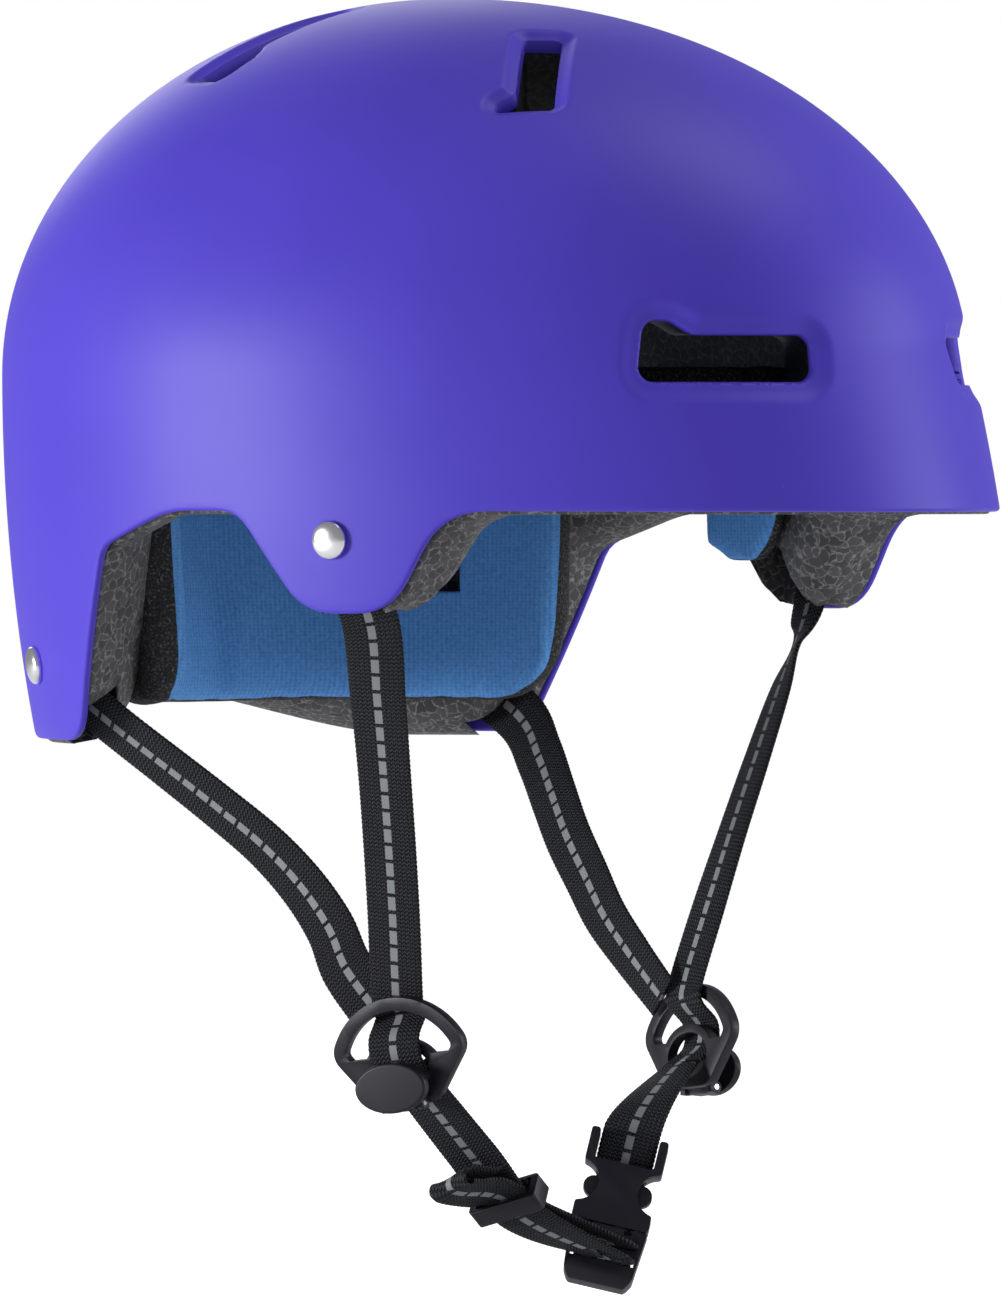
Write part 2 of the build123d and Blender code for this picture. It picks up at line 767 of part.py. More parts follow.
def rear_web(side):
    """From the rear rivet forward and down inside the rear lobe, then on to the back of the divider."""
    rivet, along, out, leave = web_start(side, "rear")
    top = rivet - along * web_end_length
    clear = rivet + along * web_end_length
    frame = divider_plane(side)
    behind = divider_thickness / 2 + web_thickness * rear_web_layers + web_gap * 2
    end = local_point(frame, -web_width / 2, divider_apex - divider_rim, -behind)
    control = (leave + end) / 2 + Vector(-side * rear_web_bow, 0, 0)
    points = [top, rivet, clear] + bent_line(leave, control, end, rear_web_steps)
    start_across = facing(out.cross(along), frame[1])
    last = len(points) - 1
    return [(point, turned(start_across, frame[1], index / last)) for index, point in enumerate(points)]


def chin_start(side):
    """The first two points of a chin web, which carries on in line from the end of the ear web."""
    enter, leave = hole_passage(divider_plane(side))
    lead = unit(leave - enter)
    return [leave + lead * web_gap, leave + lead * (web_gap + web_thickness)]


def chin_web_left():
    """Down from the left divider into the socket's throat."""
    joint, across, along, out = buckle_frame()
    start, lead = chin_start(1)
    grip = joint + along * (socket_length - socket_horn_length - web_grip + web_gap)
    throat = joint + along * socket_length
    control = throat + along * socket_horn_length
    points = [start] + bent_line(lead, control, throat, chin_web_steps) + [grip]
    first = divider_plane(1)[1]
    last = len(points) - 2
    return [(point, turned(first, across, min(max(index - 1, 0) / (last - 1), 1)))
            for index, point in enumerate(points)]


def keeper_frame():
    """The keeper's middle, its width direction, the direction up the web and the way out of the web."""
    middle, start = Vector(*keeper_place), chin_start(-1)[1]
    along = unit(start - middle)
    level = unit(Vector(0, -1, 0) - along * Vector(0, -1, 0).dot(along))
    side = along.cross(level)
    turn = radians(keeper_turn)
    across = unit(level * cos(turn) + side * sin(turn))
    out = facing(across.cross(along), Vector(0, 0, 1))
    return middle, across, along, out


def chin_web_right():
    """Down from the right divider, through the keeper, round the tongue's middle bar and back."""
    middle, across, along, out = keeper_frame()
    joint, buckle_across, buckle_along, buckle_out = buckle_frame()
    toward = facing(buckle_out, middle - joint)
    low, high = [joint + buckle_along * level for level in tongue_window_levels()]
    face = buckle_thickness / 2 + web_gap
    straight = keeper_length / 2 + web_thickness
    layer = web_thickness + web_gap
    bend = (low + high) / 2 - toward * face
    radius = (high - low) / 2
    arc = [bend - radius * cos(pi * share) - toward * (radius.length * sin(pi * share))
           for share in loop_shares]
    down = chin_start(-1) + [middle + along * (keeper_travel + straight), middle - along * straight]
    back = [middle - along * straight + out * layer, middle + along * (keeper_length / 2) + out * layer]
    lead = toward * web_lead
    points = down + [low + toward * face + lead, low + toward * face] + arc + [high + toward * face + lead] + back
    first = divider_plane(-1)[1]
    directions = [first, first, across, across] + [buckle_across] * (len(arc) + 3) + [across, across]
    return list(zip(points, directions))


def keeper():
    """Slotted keeper with room for the layers of web that pass through it."""
    room = keeper_layers * (web_thickness + web_gap) + web_gap
    outer = Box(keeper_width, room + 2 * keeper_wall, keeper_length)
    outer = fillet(outer.edges().filter_by(Axis.Z), radius=keeper_wall)
    return outer - Box(web_width + 2 * web_gap, room, 2 * keeper_length)


def keeper_place_solid(piece):
    middle, across, along, out = keeper_frame()
    return Plane(middle, x_dir=across, z_dir=along) * piece


def web_tail():
    """The web's free end, folded back on itself beside the keeper: its side view across the web's width."""
    middle, across, along, out = keeper_frame()
    layer = web_thickness + web_gap
    start = middle + along * (keeper_length / 2 + tail_drop) - out * (layer + tail_drop)
    run = Vector(*tail_end) - start
    run = unit(run - across * run.dot(across))
    length = (Vector(*tail_end) - start).dot(run)
    inner = tail_fold_radius - web_thickness / 2
    outer = tail_fold_radius + web_thickness / 2
    returned = length * tail_return_share
    first = Polyline((length, -outer), (0, -outer), (0, -inner), (length, -inner))
    bend_in = ThreePointArc((length, -inner), (length + inner, 0), (length, inner))
    second = Polyline((length, inner), (returned, inner), (returned, outer), (length, outer))
    bend_out = ThreePointArc((length, outer), (length + outer, 0), (length, -outer))
    fold = make_face(first + bend_in + second + bend_out)
    lift = facing(run.cross(across), out)
    plane = Plane(start + lift * tail_fold_radius, x_dir=run, z_dir=run.cross(lift))
    return extrude(plane * fold, amount=web_width / 2, both=True)


def main():
    os.makedirs("parts", exist_ok=True)
    holes, recesses = vent_tools()
    nodes = {}
    nodes["shell"] = make_shell(holes, recesses)
    nodes.update(liner_blocks(make_liner(holes)))
    for name in ("ear", "rear"):
        nodes[f"{name}_rivet_caps"] = rivet_group(name, rivet_cap())
        nodes[f"{name}_rivet_washers"] = rivet_group(name, rivet_washer())
    rear_region = rear_pad_region()
    foam, cover = pad_layers(pad_foam)
    nodes["pad_rear_foam"] = foam & rear_region
    nodes["pad_rear_cover"] = cover & rear_region
    foam, cover = pad_layers(thin_pad_foam)
    for side, name in ((-1, "right"), (1, "left")):
        outline = side_outline(-side_pad_front, -side_pad_rear, side_pad_bottom, side_pad_top, side_pad_corner)
        region = side_prism(outline, side)
        nodes[f"pad_side_{name}_foam"] = foam & region
        nodes[f"pad_side_{name}_cover"] = cover & region
    nodes["pad_front_foam"] = foam & front_pad_region()
    nodes["pad_front_cover"] = cover & front_pad_region()
    nodes["pad_crown_foam"] = foam & crown_pad_region()
    nodes["pad_crown_cover"] = cover & crown_pad_region()
    for side, name in ((-1, "right"), (1, "left")):
        nodes[f"web_ear_{name}"] = ribbon(ear_web(side))
        nodes[f"web_rear_{name}"] = ribbon(rear_web(side))
        nodes[f"divider_{name}"] = place_divider(divider_frame(), side)
        nodes[f"divider_lever_{name}"] = place_divider(divider_lever(), side)
        nodes[f"divider_pin_{name}"] = place_divider(lever_pin(), side)
    nodes["buckle_socket"] = buckle_place(buckle_socket())
    nodes["buckle_tongue"] = buckle_place(buckle_tongue())
    nodes["buckle_prong_front"] = buckle_place(buckle_prong(1))
    nodes["buckle_prong_rear"] = buckle_place(buckle_prong(-1))
    nodes["web_chin_left"] = ribbon(chin_web_left())
    nodes["web_chin_right"] = ribbon(chin_web_right())
    nodes["web_keeper"] = keeper_place_solid(keeper())
    nodes["web_tail"] = web_tail()
    drill = Cylinder(rivet_post_diameter / 2 + rivet_hole_clearance, 2 * overrun)
    for name, places in rivet_places().items():
        for side_name, place in zip(("right", "left"), places):
            nodes[f"web_{name}_{side_name}"] -= rivet_plane(shell_form, *place) * drill
    for name, shape in nodes.items():
        export_step(shape, f"parts/{name}.step")
        print(name, len(shape.solids()), round(shape.volume), shape.is_valid)


main()
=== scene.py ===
# %% [markdown]
# Skateboard helmet, a lesson in cells.
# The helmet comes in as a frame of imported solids: a hard purple shell, a foam liner, comfort pads and a
# harness of webbing with dividers and a side-release buckle. Each cell below gives one of these pieces
# the surface that the real one has. Everything is in metres, with +Z up and the wearer looking along -Y.

# %% Load the frame
import json
from math import atan2, ceil, cos, pi, radians, sin, sqrt, tan

import bmesh
import bpy
from mathutils import Matrix, Vector

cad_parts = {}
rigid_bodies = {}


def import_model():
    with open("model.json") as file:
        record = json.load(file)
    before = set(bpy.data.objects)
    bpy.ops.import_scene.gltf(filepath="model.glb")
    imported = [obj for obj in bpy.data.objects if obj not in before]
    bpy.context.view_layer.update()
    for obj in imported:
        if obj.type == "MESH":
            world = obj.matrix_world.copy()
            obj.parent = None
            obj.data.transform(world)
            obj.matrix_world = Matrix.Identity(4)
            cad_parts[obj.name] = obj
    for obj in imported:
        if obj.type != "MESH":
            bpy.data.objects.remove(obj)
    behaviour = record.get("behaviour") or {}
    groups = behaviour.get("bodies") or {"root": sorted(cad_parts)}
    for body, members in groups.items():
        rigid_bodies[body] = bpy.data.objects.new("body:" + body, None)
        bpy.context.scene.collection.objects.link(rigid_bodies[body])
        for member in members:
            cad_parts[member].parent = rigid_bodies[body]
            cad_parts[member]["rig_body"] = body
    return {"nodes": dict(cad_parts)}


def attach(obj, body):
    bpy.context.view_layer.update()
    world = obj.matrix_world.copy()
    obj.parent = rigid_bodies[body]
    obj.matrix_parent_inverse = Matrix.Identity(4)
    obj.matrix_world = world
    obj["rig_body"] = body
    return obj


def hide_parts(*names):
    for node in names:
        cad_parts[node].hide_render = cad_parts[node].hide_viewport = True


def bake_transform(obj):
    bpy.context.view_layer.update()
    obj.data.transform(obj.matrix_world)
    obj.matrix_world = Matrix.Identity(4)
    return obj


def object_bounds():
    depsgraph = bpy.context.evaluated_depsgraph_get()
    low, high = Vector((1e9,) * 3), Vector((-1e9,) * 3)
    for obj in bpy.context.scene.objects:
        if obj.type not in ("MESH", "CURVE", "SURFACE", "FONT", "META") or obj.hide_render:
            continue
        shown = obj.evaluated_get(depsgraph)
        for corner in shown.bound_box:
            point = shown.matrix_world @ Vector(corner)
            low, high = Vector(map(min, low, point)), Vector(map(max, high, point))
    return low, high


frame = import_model()
nodes = frame["nodes"]
frame_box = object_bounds()
print("solids in the frame:", len(nodes))

# %% [markdown]
# The photograph was taken from the front right, nearly level with the helmet, through a long lens, so
# the camera stands well back. Its place was fitted to the outline of the shell, which is why the numbers
# aren't round. The height of the sensor is the long side of the picture.

# %% Camera
CAMERA_PLACE = Vector((-2.4538, -2.1874, -0.0303))
CAMERA_RIGHT = Vector((0.6622, -0.7494, 0.0))
CAMERA_BACK = Vector((-0.7493, -0.6621, 0.01258))
CAMERA_LENS = 350.4
lens = bpy.data.cameras.new("photo_camera")
lens.lens = CAMERA_LENS
lens.sensor_fit = "AUTO"
lens.sensor_width = 36.0
lens.clip_end = 50.0
camera = bpy.data.objects.new("photo_camera", lens)
bpy.context.scene.collection.objects.link(camera)
across, back = CAMERA_RIGHT.normalized(), CAMERA_BACK.normalized()
up = back.cross(across).normalized()
across = up.cross(back).normalized()
turn = Matrix((across, up, back)).transposed().to_4x4()
camera.matrix_world = Matrix.Translation(CAMERA_PLACE) @ turn
bpy.context.scene.camera = camera
print("camera distance:", round(CAMERA_PLACE.length, 3))

# %% [markdown]
# Every finish below is a tree of shader nodes. These helpers make a node, do sums on its values, colour a
# value with a ramp and turn a height into relief, so that each finish reads as a short recipe.

# %% Helpers for materials
def fill(node, sockets):
    """Fills in sockets of a node by name, with _ for each space."""
    for name, value in sockets.items():
        node.inputs[name.replace("_", " ")].default_value = value
    return node


def shade(name, **sockets):
    """A new material with its node tree and its shader."""
    material = bpy.data.materials.new(name)
    material.use_nodes = True
    tree = material.node_tree
    return material, tree, fill(tree.nodes["Principled BSDF"], sockets)


def add(tree, kind, settings=None, **sockets):
    """A new node with its settings and its sockets."""
    node = tree.nodes.new("ShaderNode" + kind)
    for name, value in (settings or {}).items():
        setattr(node, name, value)
    return fill(node, sockets)


def math_of(tree, operation, first, second=0.0):
    """A math node on two values, each a socket or a number."""
    node = add(tree, "Math", {"operation": operation})
    for socket, value in zip(node.inputs, (first, second)):
        if isinstance(value, (int, float)):
            socket.default_value = value
        else:
            tree.links.new(value, socket)
    return node.outputs[0]


def times(tree, first, second):
    return math_of(tree, "MULTIPLY", first, second)


def plus(tree, first, second):
    return math_of(tree, "ADD", first, second)


def ramp(tree, value, *stops):
    """A colour ramp over a value, given as places and colours."""
    node = add(tree, "ValToRGB")
    tree.links.new(value, node.inputs["Fac"])
    marks = node.color_ramp.elements
    while len(marks) < len(stops):
        marks.new(0.5)
    for mark, (place, colour) in zip(marks, stops):
        mark.position = place
        mark.color = (*colour, 1)
    return node.outputs["Color"]


def bumped(tree, shader, height, distance, strength=1.0):
    """Relief on a shader from a height between 0 and 1."""
    node = add(tree, "Bump", Distance=distance, Strength=strength)
    tree.links.new(height, node.inputs["Height"])
    tree.links.new(node.outputs["Normal"], shader.inputs["Normal"])


def noise(tree, place, scale, detail=2.0):
    node = add(tree, "TexNoise", Scale=scale, Detail=detail)
    tree.links.new(place, node.inputs["Vector"])
    return node.outputs["Fac"]


def object_place(tree):
    return add(tree, "TexCoord").outputs["Object"]


def painted(tree, shader, mask, under, over):
    """Base colour of a shader: over where the mask is white, under elsewhere."""
    paint = add(tree, "MixRGB")
    tree.links.new(mask, paint.inputs["Fac"])
    for socket, value in zip((paint.inputs["Color1"], paint.inputs["Color2"]), (under, over)):
        if isinstance(value, tuple):
            socket.default_value = (*value, 1)
        else:
            tree.links.new(value, socket)
    tree.links.new(paint.outputs["Color"], shader.inputs["Base Color"])
    return paint.outputs["Color"]


def mottled(name, cloud, stops, grain, **sockets):
    """A finish with a faintly cloudy colour and a fine grain.

    cloud is the scale of the noise that the colour stops follow, and grain is the scale, the detail, the
    depth and the strength of the relief.
    """
    material, tree, shader = shade(name, **sockets)
    place = object_place(tree)
    tree.links.new(ramp(tree, noise(tree, place, cloud), *stops), shader.inputs["Base Color"])
    scale, detail, depth, strength = grain
    bumped(tree, shader, noise(tree, place, scale, detail), depth, strength)
    return material


print("helpers:", shade.__name__, add.__name__, ramp.__name__, bumped.__name__, mottled.__name__)

# %% [markdown]
# The helmet hangs over a wide pale disc, which lies low enough that the open buckle stays clear of it. The
# disc glows a little, but only for the camera, so its edge melts into the background and nothing is lit.

# %% Floor
FLOOR_GAP, FLOOR_RADIUS, FLOOR_GLOW = 0.022, 2.4, 0.62


def pale_floor():
    bm = bmesh.new()
    bmesh.ops.create_circle(bm, cap_ends=True, segments=96, radius=FLOOR_RADIUS)
    bmesh.ops.translate(bm, verts=bm.verts, vec=(0, 0, frame_box[0][2] - FLOOR_GAP))
    mesh = bpy.data.meshes.new("floor")
    bm.to_mesh(mesh)
    bm.free()
    piece = bpy.data.objects.new("floor", mesh)
    bpy.context.scene.collection.objects.link(piece)
    material, tree, shader = shade("floor_paper", Base_Color=(0.95, 0.95, 0.95, 1), Roughness=0.9,
                                   Emission_Color=(1, 1, 1, 1))
    glow = times(tree, add(tree, "LightPath").outputs["Is Camera Ray"], FLOOR_GLOW)
    tree.links.new(glow, shader.inputs["Emission Strength"])
    mesh.materials.append(material)


pale_floor()
print("floor below the buckle:", FLOOR_GAP)

# %% [markdown]
# The world is white to the camera but only grey as a lamp. A low light on the left and a large one on the
# right stand well to the sides of the camera, so the sides of the helmet shine and the part that faces the
# camera stays dark, as in the photograph.

# %% World and lights
WORLD_STRENGTH = 0.26
LIGHTS = (
    ("left_light", (-1.35, 0.85, -0.03), 0.44, 20.0),
    ("right_light", (1.50, -1.75, 0.45), 1.6, 28.0),
    ("top_light", (0.55, -0.60, 2.30), 1.5, 18.0),
    ("back_light", (1.20, 1.70, 0.90), 1.2, 8.0),
)
world = bpy.data.worlds.new("studio")
world.use_nodes = True
bpy.context.scene.world = world
sky = world.node_tree
lamp = sky.nodes["Background"]
lamp.inputs["Color"].default_value = (0.95, 0.96, 1.0, 1)
lamp.inputs["Strength"].default_value = WORLD_STRENGTH
white = add(sky, "Background", Color=(1, 1, 1, 1), Strength=1.0)
mix = add(sky, "MixShader")
sky.links.new(add(sky, "LightPath").outputs["Is Camera Ray"], mix.inputs["Fac"])
sky.links.new(lamp.outputs["Background"], mix.inputs[1])
sky.links.new(white.outputs["Background"], mix.inputs[2])
sky.links.new(mix.outputs["Shader"], sky.nodes["World Output"].inputs["Surface"])
for name, place, size, power in LIGHTS:
    data = bpy.data.lights.new(name, "AREA")
    data.shape = "DISK"
    data.size = size
    data.energy = power
    light = bpy.data.objects.new(name, data)
    light.location = place
    light.rotation_euler = Vector(place).to_track_quat("Z", "Y").to_euler()
    bpy.context.scene.collection.objects.link(light)
bpy.context.scene.view_settings.view_transform = "Standard"
print("lights:", len(LIGHTS))

# %% [markdown]
# Most pieces start as one flat grid whose vertices are then moved to their places. These helpers say which
# column and row of its grid a vertex belongs to, turn a mesh into a piece that rides with a body of the
# frame, and give it its material.

# %% Helpers for pieces
def grid_spot(vert, columns, rows):
    """Column and row of a vertex in a flat grid of size 1."""
    return round((vert.co.x + 0.5) * columns), round((vert.co.y + 0.5) * rows)


def finished(name, bm, body="helmet"):
    """A mesh piece that rides with a body of the frame, or with none yet."""
    mesh = bpy.data.meshes.new(name)
    bm.to_mesh(mesh)
    bm.free()
    for face in mesh.polygons:
        face.use_smooth = True
    piece = bpy.data.objects.new(name, mesh)
    bpy.context.scene.collection.objects.link(piece)
    if body:
        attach(piece, body)
    return piece


def coat(piece, finish):
    """Gives a piece this one material."""
    piece.data.materials.clear()
    piece.data.materials.append(finish)


print("helpers:", grid_spot.__name__, finished.__name__, coat.__name__)

# %% [markdown]
# The shell is one moulded skin. Above its widest level it is two half ellipsoids, a longer one in front,
# and below it the sides draw in slowly while the front swells into a short brim. These few numbers say
# where any point of the skin lies, so a grid can be laid over the helmet like a sheet over a bowl.

# %% Form of the shell
HALF_WIDTH, FRONT_REACH, REAR_REACH = 0.1042, 0.1534, 0.1243
CROWN_HEIGHT, TAPER_DEPTH = 0.0973, 0.247
BRIM_TOP, BRIM_LEVEL, BRIM_FLARE = 0.008, 0.0354, 0.0138
BRIM_SOFTNESS = 0.08
DOME_LEVEL = 0.012
SHELL_WALL = 0.0022


def inset_size(amount):
    """The shell's sizes with every one of them drawn in by a wall."""
    return HALF_WIDTH - amount, FRONT_REACH - amount, REAR_REACH - amount, CROWN_HEIGHT - amount, BRIM_FLARE


SHELL = inset_size(0)


def section(level, size=SHELL):
    """Half width, front reach and rear reach at a level."""
    half, front, rear, height, flare = size
    share = sqrt(max(1 - (level / (height if level > 0 else TAPER_DEPTH)) ** 2, 0))
    fall = max(BRIM_TOP - level, 0) / (BRIM_TOP + BRIM_LEVEL)
    swell = flare * (1 + BRIM_SOFTNESS) * fall * fall / (fall + BRIM_SOFTNESS)
    return half * share, front * share + min(swell, flare), rear * share


def skin_point(turn, level, size=SHELL):
    half, front, rear = section(level, size)
    return Vector((half * cos(turn), (rear if sin(turn) > 0 else front) * sin(turn), level))


def out_share(point, dome_level, size=SHELL):
    """A point's distance from the middle as a share of the skin's, and whether it belongs to the dome."""
    half, front, rear, height = size[:4]
    in_dome = point.z > dome_level
    if not in_dome:
        half, front, rear = section(point.z, size)
    flat = (point.x / half) ** 2 + (point.y / (rear if point.y > 0 else front)) ** 2
    return sqrt(flat + (point.z / height) ** 2 if in_dome else flat), in_dome


def onto_skin(point):
    """The point of the skin straight out from a point near it."""
    share, in_dome = out_share(point, DOME_LEVEL)
    return point / share if in_dome else Vector((point.x / share, point.y / share, point.z))


TURN_NUDGE, LEVEL_NUDGE = 0.01, 0.0005


def skin_normal(point):
    """The way straight out of the skin at a point of it."""
    half, front, rear = section(point.z)
    turn = atan2(point.y / (rear if point.y > 0 else front), point.x / max(half, 1e-6))
    aside = skin_point(turn + TURN_NUDGE, point.z) - skin_point(turn - TURN_NUDGE, point.z)
    upward = skin_point(turn, point.z + LEVEL_NUDGE) - skin_point(turn, point.z - LEVEL_NUDGE)
    return aside.cross(upward).normalized()


print("shell width and length:", 2 * HALF_WIDTH, FRONT_REACH + BRIM_FLARE + REAR_REACH)

# %% [markdown]
# Seen from the side, the lower edge runs level along the brim, dips over the ear rivet, arches over the
# ear and drops to the nape. The corners below are those of the real edge, each with its own radius, and
# a quadratic curve through each corner gives the soft line between them.

# %% Lower edge
EDGE_CORNERS = (
    (-0.2000, -0.0354, 0.0), (-0.0790, -0.0354, 0.021), (-0.0635, -0.0613, 0.0165),
    (-0.0395, -0.0613, 0.0165), (-0.0205, -0.0354, 0.012), (0.0030, -0.0354, 0.040),
    (0.0300, -0.0448, 0.009), (0.0485, -0.0948, 0.011), (0.2000, -0.0948, 0.0),
)
BACK_ARCH_HALF, BACK_ARCH_RISE = 0.067, 0.0138
BACK_ARCH_START = 0.04
CURVE_STEPS, EDGE_SAMPLES = 10, 3000
FIRST_LEVEL, LEVEL_ROUNDS = -0.05, 12


def edge_line():
    """Points along the lower edge in the side view, from front to back."""
    corners = [Vector(corner[:2]) for corner in EDGE_CORNERS]
    line = [corners[0]]
    for before, corner, after, spec in zip(corners, corners[1:], corners[2:], EDGE_CORNERS[1:]):
        ahead, behind = (after - corner).normalized(), (before - corner).normalized()
        trim = spec[2] / tan(ahead.angle(behind) / 2)
        start, end = corner + behind * trim, corner + ahead * trim
        for step in range(CURVE_STEPS + 1):
            t = step / CURVE_STEPS
            line.append(start * (1 - t) ** 2 + corner * 2 * t * (1 - t) + end * t ** 2)
    return line + [corners[-1]]


EDGE_LINE = edge_line()


def edge_level(place):
    """Height of the lower edge below or above a place on the skin."""
    level = EDGE_LINE[-1].y
    for first, second in zip(EDGE_LINE, EDGE_LINE[1:]):
        if first.x <= place.y <= second.x and second.x > first.x:
            level = first.y + (second.y - first.y) * (place.y - first.x) / (second.x - first.x)
            break
    if place.y > BACK_ARCH_START and abs(place.x) < BACK_ARCH_HALF:
        level += BACK_ARCH_RISE * (1 - (place.x / BACK_ARCH_HALF) ** 2) ** 1.5
    return level


def rim_place(turn, raised, size=SHELL):
    """The place on the skin at the lower edge, raised a little, for one direction from the middle."""
    place = skin_point(turn, FIRST_LEVEL, size)
    for _ in range(LEVEL_ROUNDS):
        place = skin_point(turn, edge_level(place) + raised, size)
    return place


def even_turns(count, raised):
    """Directions whose places are spaced evenly along the lower edge."""
    places = [rim_place(-pi / 2 + 2 * pi * k / EDGE_SAMPLES, raised) for k in range(EDGE_SAMPLES + 1)]
    run = [0.0]
    for first, second in zip(places, places[1:]):
        run.append(run[-1] + (second - first).length)
    turns, k = [], 0
    for index in range(count):
        target = run[-1] * index / count
        while run[k + 1] < target:
            k += 1
        share = (target - run[k]) / (run[k + 1] - run[k])
        turns.append(-pi / 2 + 2 * pi * (k + share) / EDGE_SAMPLES)
    return turns


print("edge at nape and brim:", round(edge_level(Vector((0.09, 0.06, 0))), 4), EDGE_CORNERS[0][1])

# %% [markdown]
# All the vents share one outline: a level slot with one end that widens in a soft step. Its signed
# distance, less than zero inside, later tells every vertex of the shell how deep it has to sink.

# %% Vent outlines
STEP_POINTS, LEAST_MITRE = 8, 0.3


def top_place(width_share, reach_share):
    """A place on the upper skin over the given shares of the half width and the reach."""
    x = width_share * HALF_WIDTH
    reach = FRONT_REACH if reach_share < 0 else REAR_REACH
    y = reach_share * reach
    z = CROWN_HEIGHT * sqrt(max(1 - width_share ** 2 - reach_share ** 2, 0))
    out = Vector((x / HALF_WIDTH ** 2, y / reach ** 2, z / CROWN_HEIGHT ** 2)).normalized()
    return Vector((x, y, z)), out


def boot(length, height, step, step_length, step_run, turned=1, lean=0.0):
    """Corner points of a slot whose wide end is at -x and whose step is on the turned side of y."""
    left, right, low, high = -length / 2, length / 2, -height / 2, height / 2
    corners = [(left, low), (right, low), (right, high)]
    for k in range(STEP_POINTS + 1):
        share = k / STEP_POINTS
        corners.append((left + step_length + step_run * (1 - share), high + step * (1 - cos(pi * share)) / 2))
    corners.append((left + lean, high + step))
    return [Vector((x, turned * y)) for x, y in corners]


def distance_to(outline, spot, radius):
    """Signed distance from a spot to an outline whose corners are rounded by a radius."""
    nearest, inside = 1.0, False
    count = len(outline)
    for index in range(count):
        a, b = outline[index], outline[(index + 1) % count]
        run = b - a
        share = min(max((spot - a).dot(run) / run.length_squared, 0), 1)
        nearest = min(nearest, (spot - a - run * share).length)
        if (a.y > spot.y) != (b.y > spot.y) and spot.x < a.x + (spot.y - a.y) * run.x / run.y:
            inside = not inside
    return (-nearest if inside else nearest) - radius


def shrunk(outline, amount):
    """The outline drawn in on all sides, so that a rounding radius can be added to it again."""
    count = len(outline)
    area = sum(outline[k - 1].x * outline[k].y - outline[k].x * outline[k - 1].y for k in range(count))
    sign = 1 if area > 0 else -1
    drawn = []
    for k in range(count):
        first, corner, last = outline[k - 1], outline[k], outline[(k + 1) % count]
        u, v = (corner - first).normalized(), (last - corner).normalized()
        n = Vector((-u.y, u.x)) * sign + Vector((-v.y, v.x)) * sign
        n.normalize()
        drawn.append(corner + n * amount / max(n.dot(Vector((-u.y, u.x)) * sign), LEAST_MITRE))
    return drawn


print("corners of a stepped slot:", len(boot(0.04, 0.01, 0.004, 0.008, 0.008)))

# %% [markdown]
# Each side has four vents: one in front and one at the back that lie level, and two in the crown that run
# down and outwards. The skin sinks softly round them. Only the right ones are written down, and each
# keeps its own frame on the skin, so that any point near it can be measured along, across and out.

# %% Vents of the right side
VENT_MARGIN, VENT_SOFT, CROWN_VENT_SOFT = 0.0006, 0.0052, 0.0034


def vent(place, out, aside, outline, radius, soft):
    """A vent's frame on the skin with its drawn-in outline."""
    along = (aside - out * aside.dot(out)).normalized()
    return {"place": place, "out": out, "along": along, "across": out.cross(along),
            "outline": shrunk(outline, radius), "corners": outline, "radius": radius, "soft": soft,
            "reach": max(corner.length for corner in outline) + VENT_MARGIN + VENT_SOFT}


def side_vent(shares, level, shape, radius):
    place, out = top_place(*shares)
    out = Vector((out.x, out.y, 0)).normalized()
    place.z = level
    return vent(place, out, Vector((-out.y, out.x, 0)), boot(*shape), radius, VENT_SOFT)


def crown_vent(shares, shape, radius):
    place, out = top_place(*shares)
    return vent(place, out, Vector((-out.x, -out.y, 0)), boot(*shape), radius, CROWN_VENT_SOFT)


RIGHT_VENTS = (
    side_vent((-0.45, -0.885), 0.00275, (0.0454, 0.0123, 0.0036, 0.0075, 0.0085, 1, 0.0022), 0.0040),
    crown_vent((-0.40, -0.447), (0.0370, 0.0102, 0.0050, 0.0025, 0.0050), 0.0015),
    crown_vent((-0.384, 0.197), (0.0446, 0.0120, 0.0046, 0.0090, 0.0055, -1), 0.0030),
    side_vent((-0.37, 0.88), 0.008, (0.0340, 0.0110, 0.0, 0.0080, 0.0020), 0.0035),
)
print("vents on each side:", len(RIGHT_VENTS))

# %% [markdown]
# The shell starts as one flat grid. Its columns run from the crown down to the lower edge and its last
# rows turn round the rim and up inside, so the rim is as thick and round as the moulded one.

# %% Grid of the shell
COLUMNS, DOME_ROWS, SKIRT_ROWS = 380, 66, 26
RIM_RADIUS = 0.0009
RIM_INSIDE, RIM_NUDGE = 0.011, 0.004
MERGE = 0.00001


def rim_corner(*angles):
    """Fall and depth of the rim's round corner at some angles."""
    return [(RIM_RADIUS * sin(radians(t)), RIM_RADIUS * (1 - cos(radians(t)))) for t in angles]


RIM_PROFILE = rim_corner(22, 45, 67, 90)
RIM_PROFILE += [(fall, SHELL_WALL - depth) for fall, depth in rim_corner(90, 45, 0)]
RIM_PROFILE += [(-RIM_INSIDE / 2, SHELL_WALL), (-RIM_INSIDE, SHELL_WALL)]


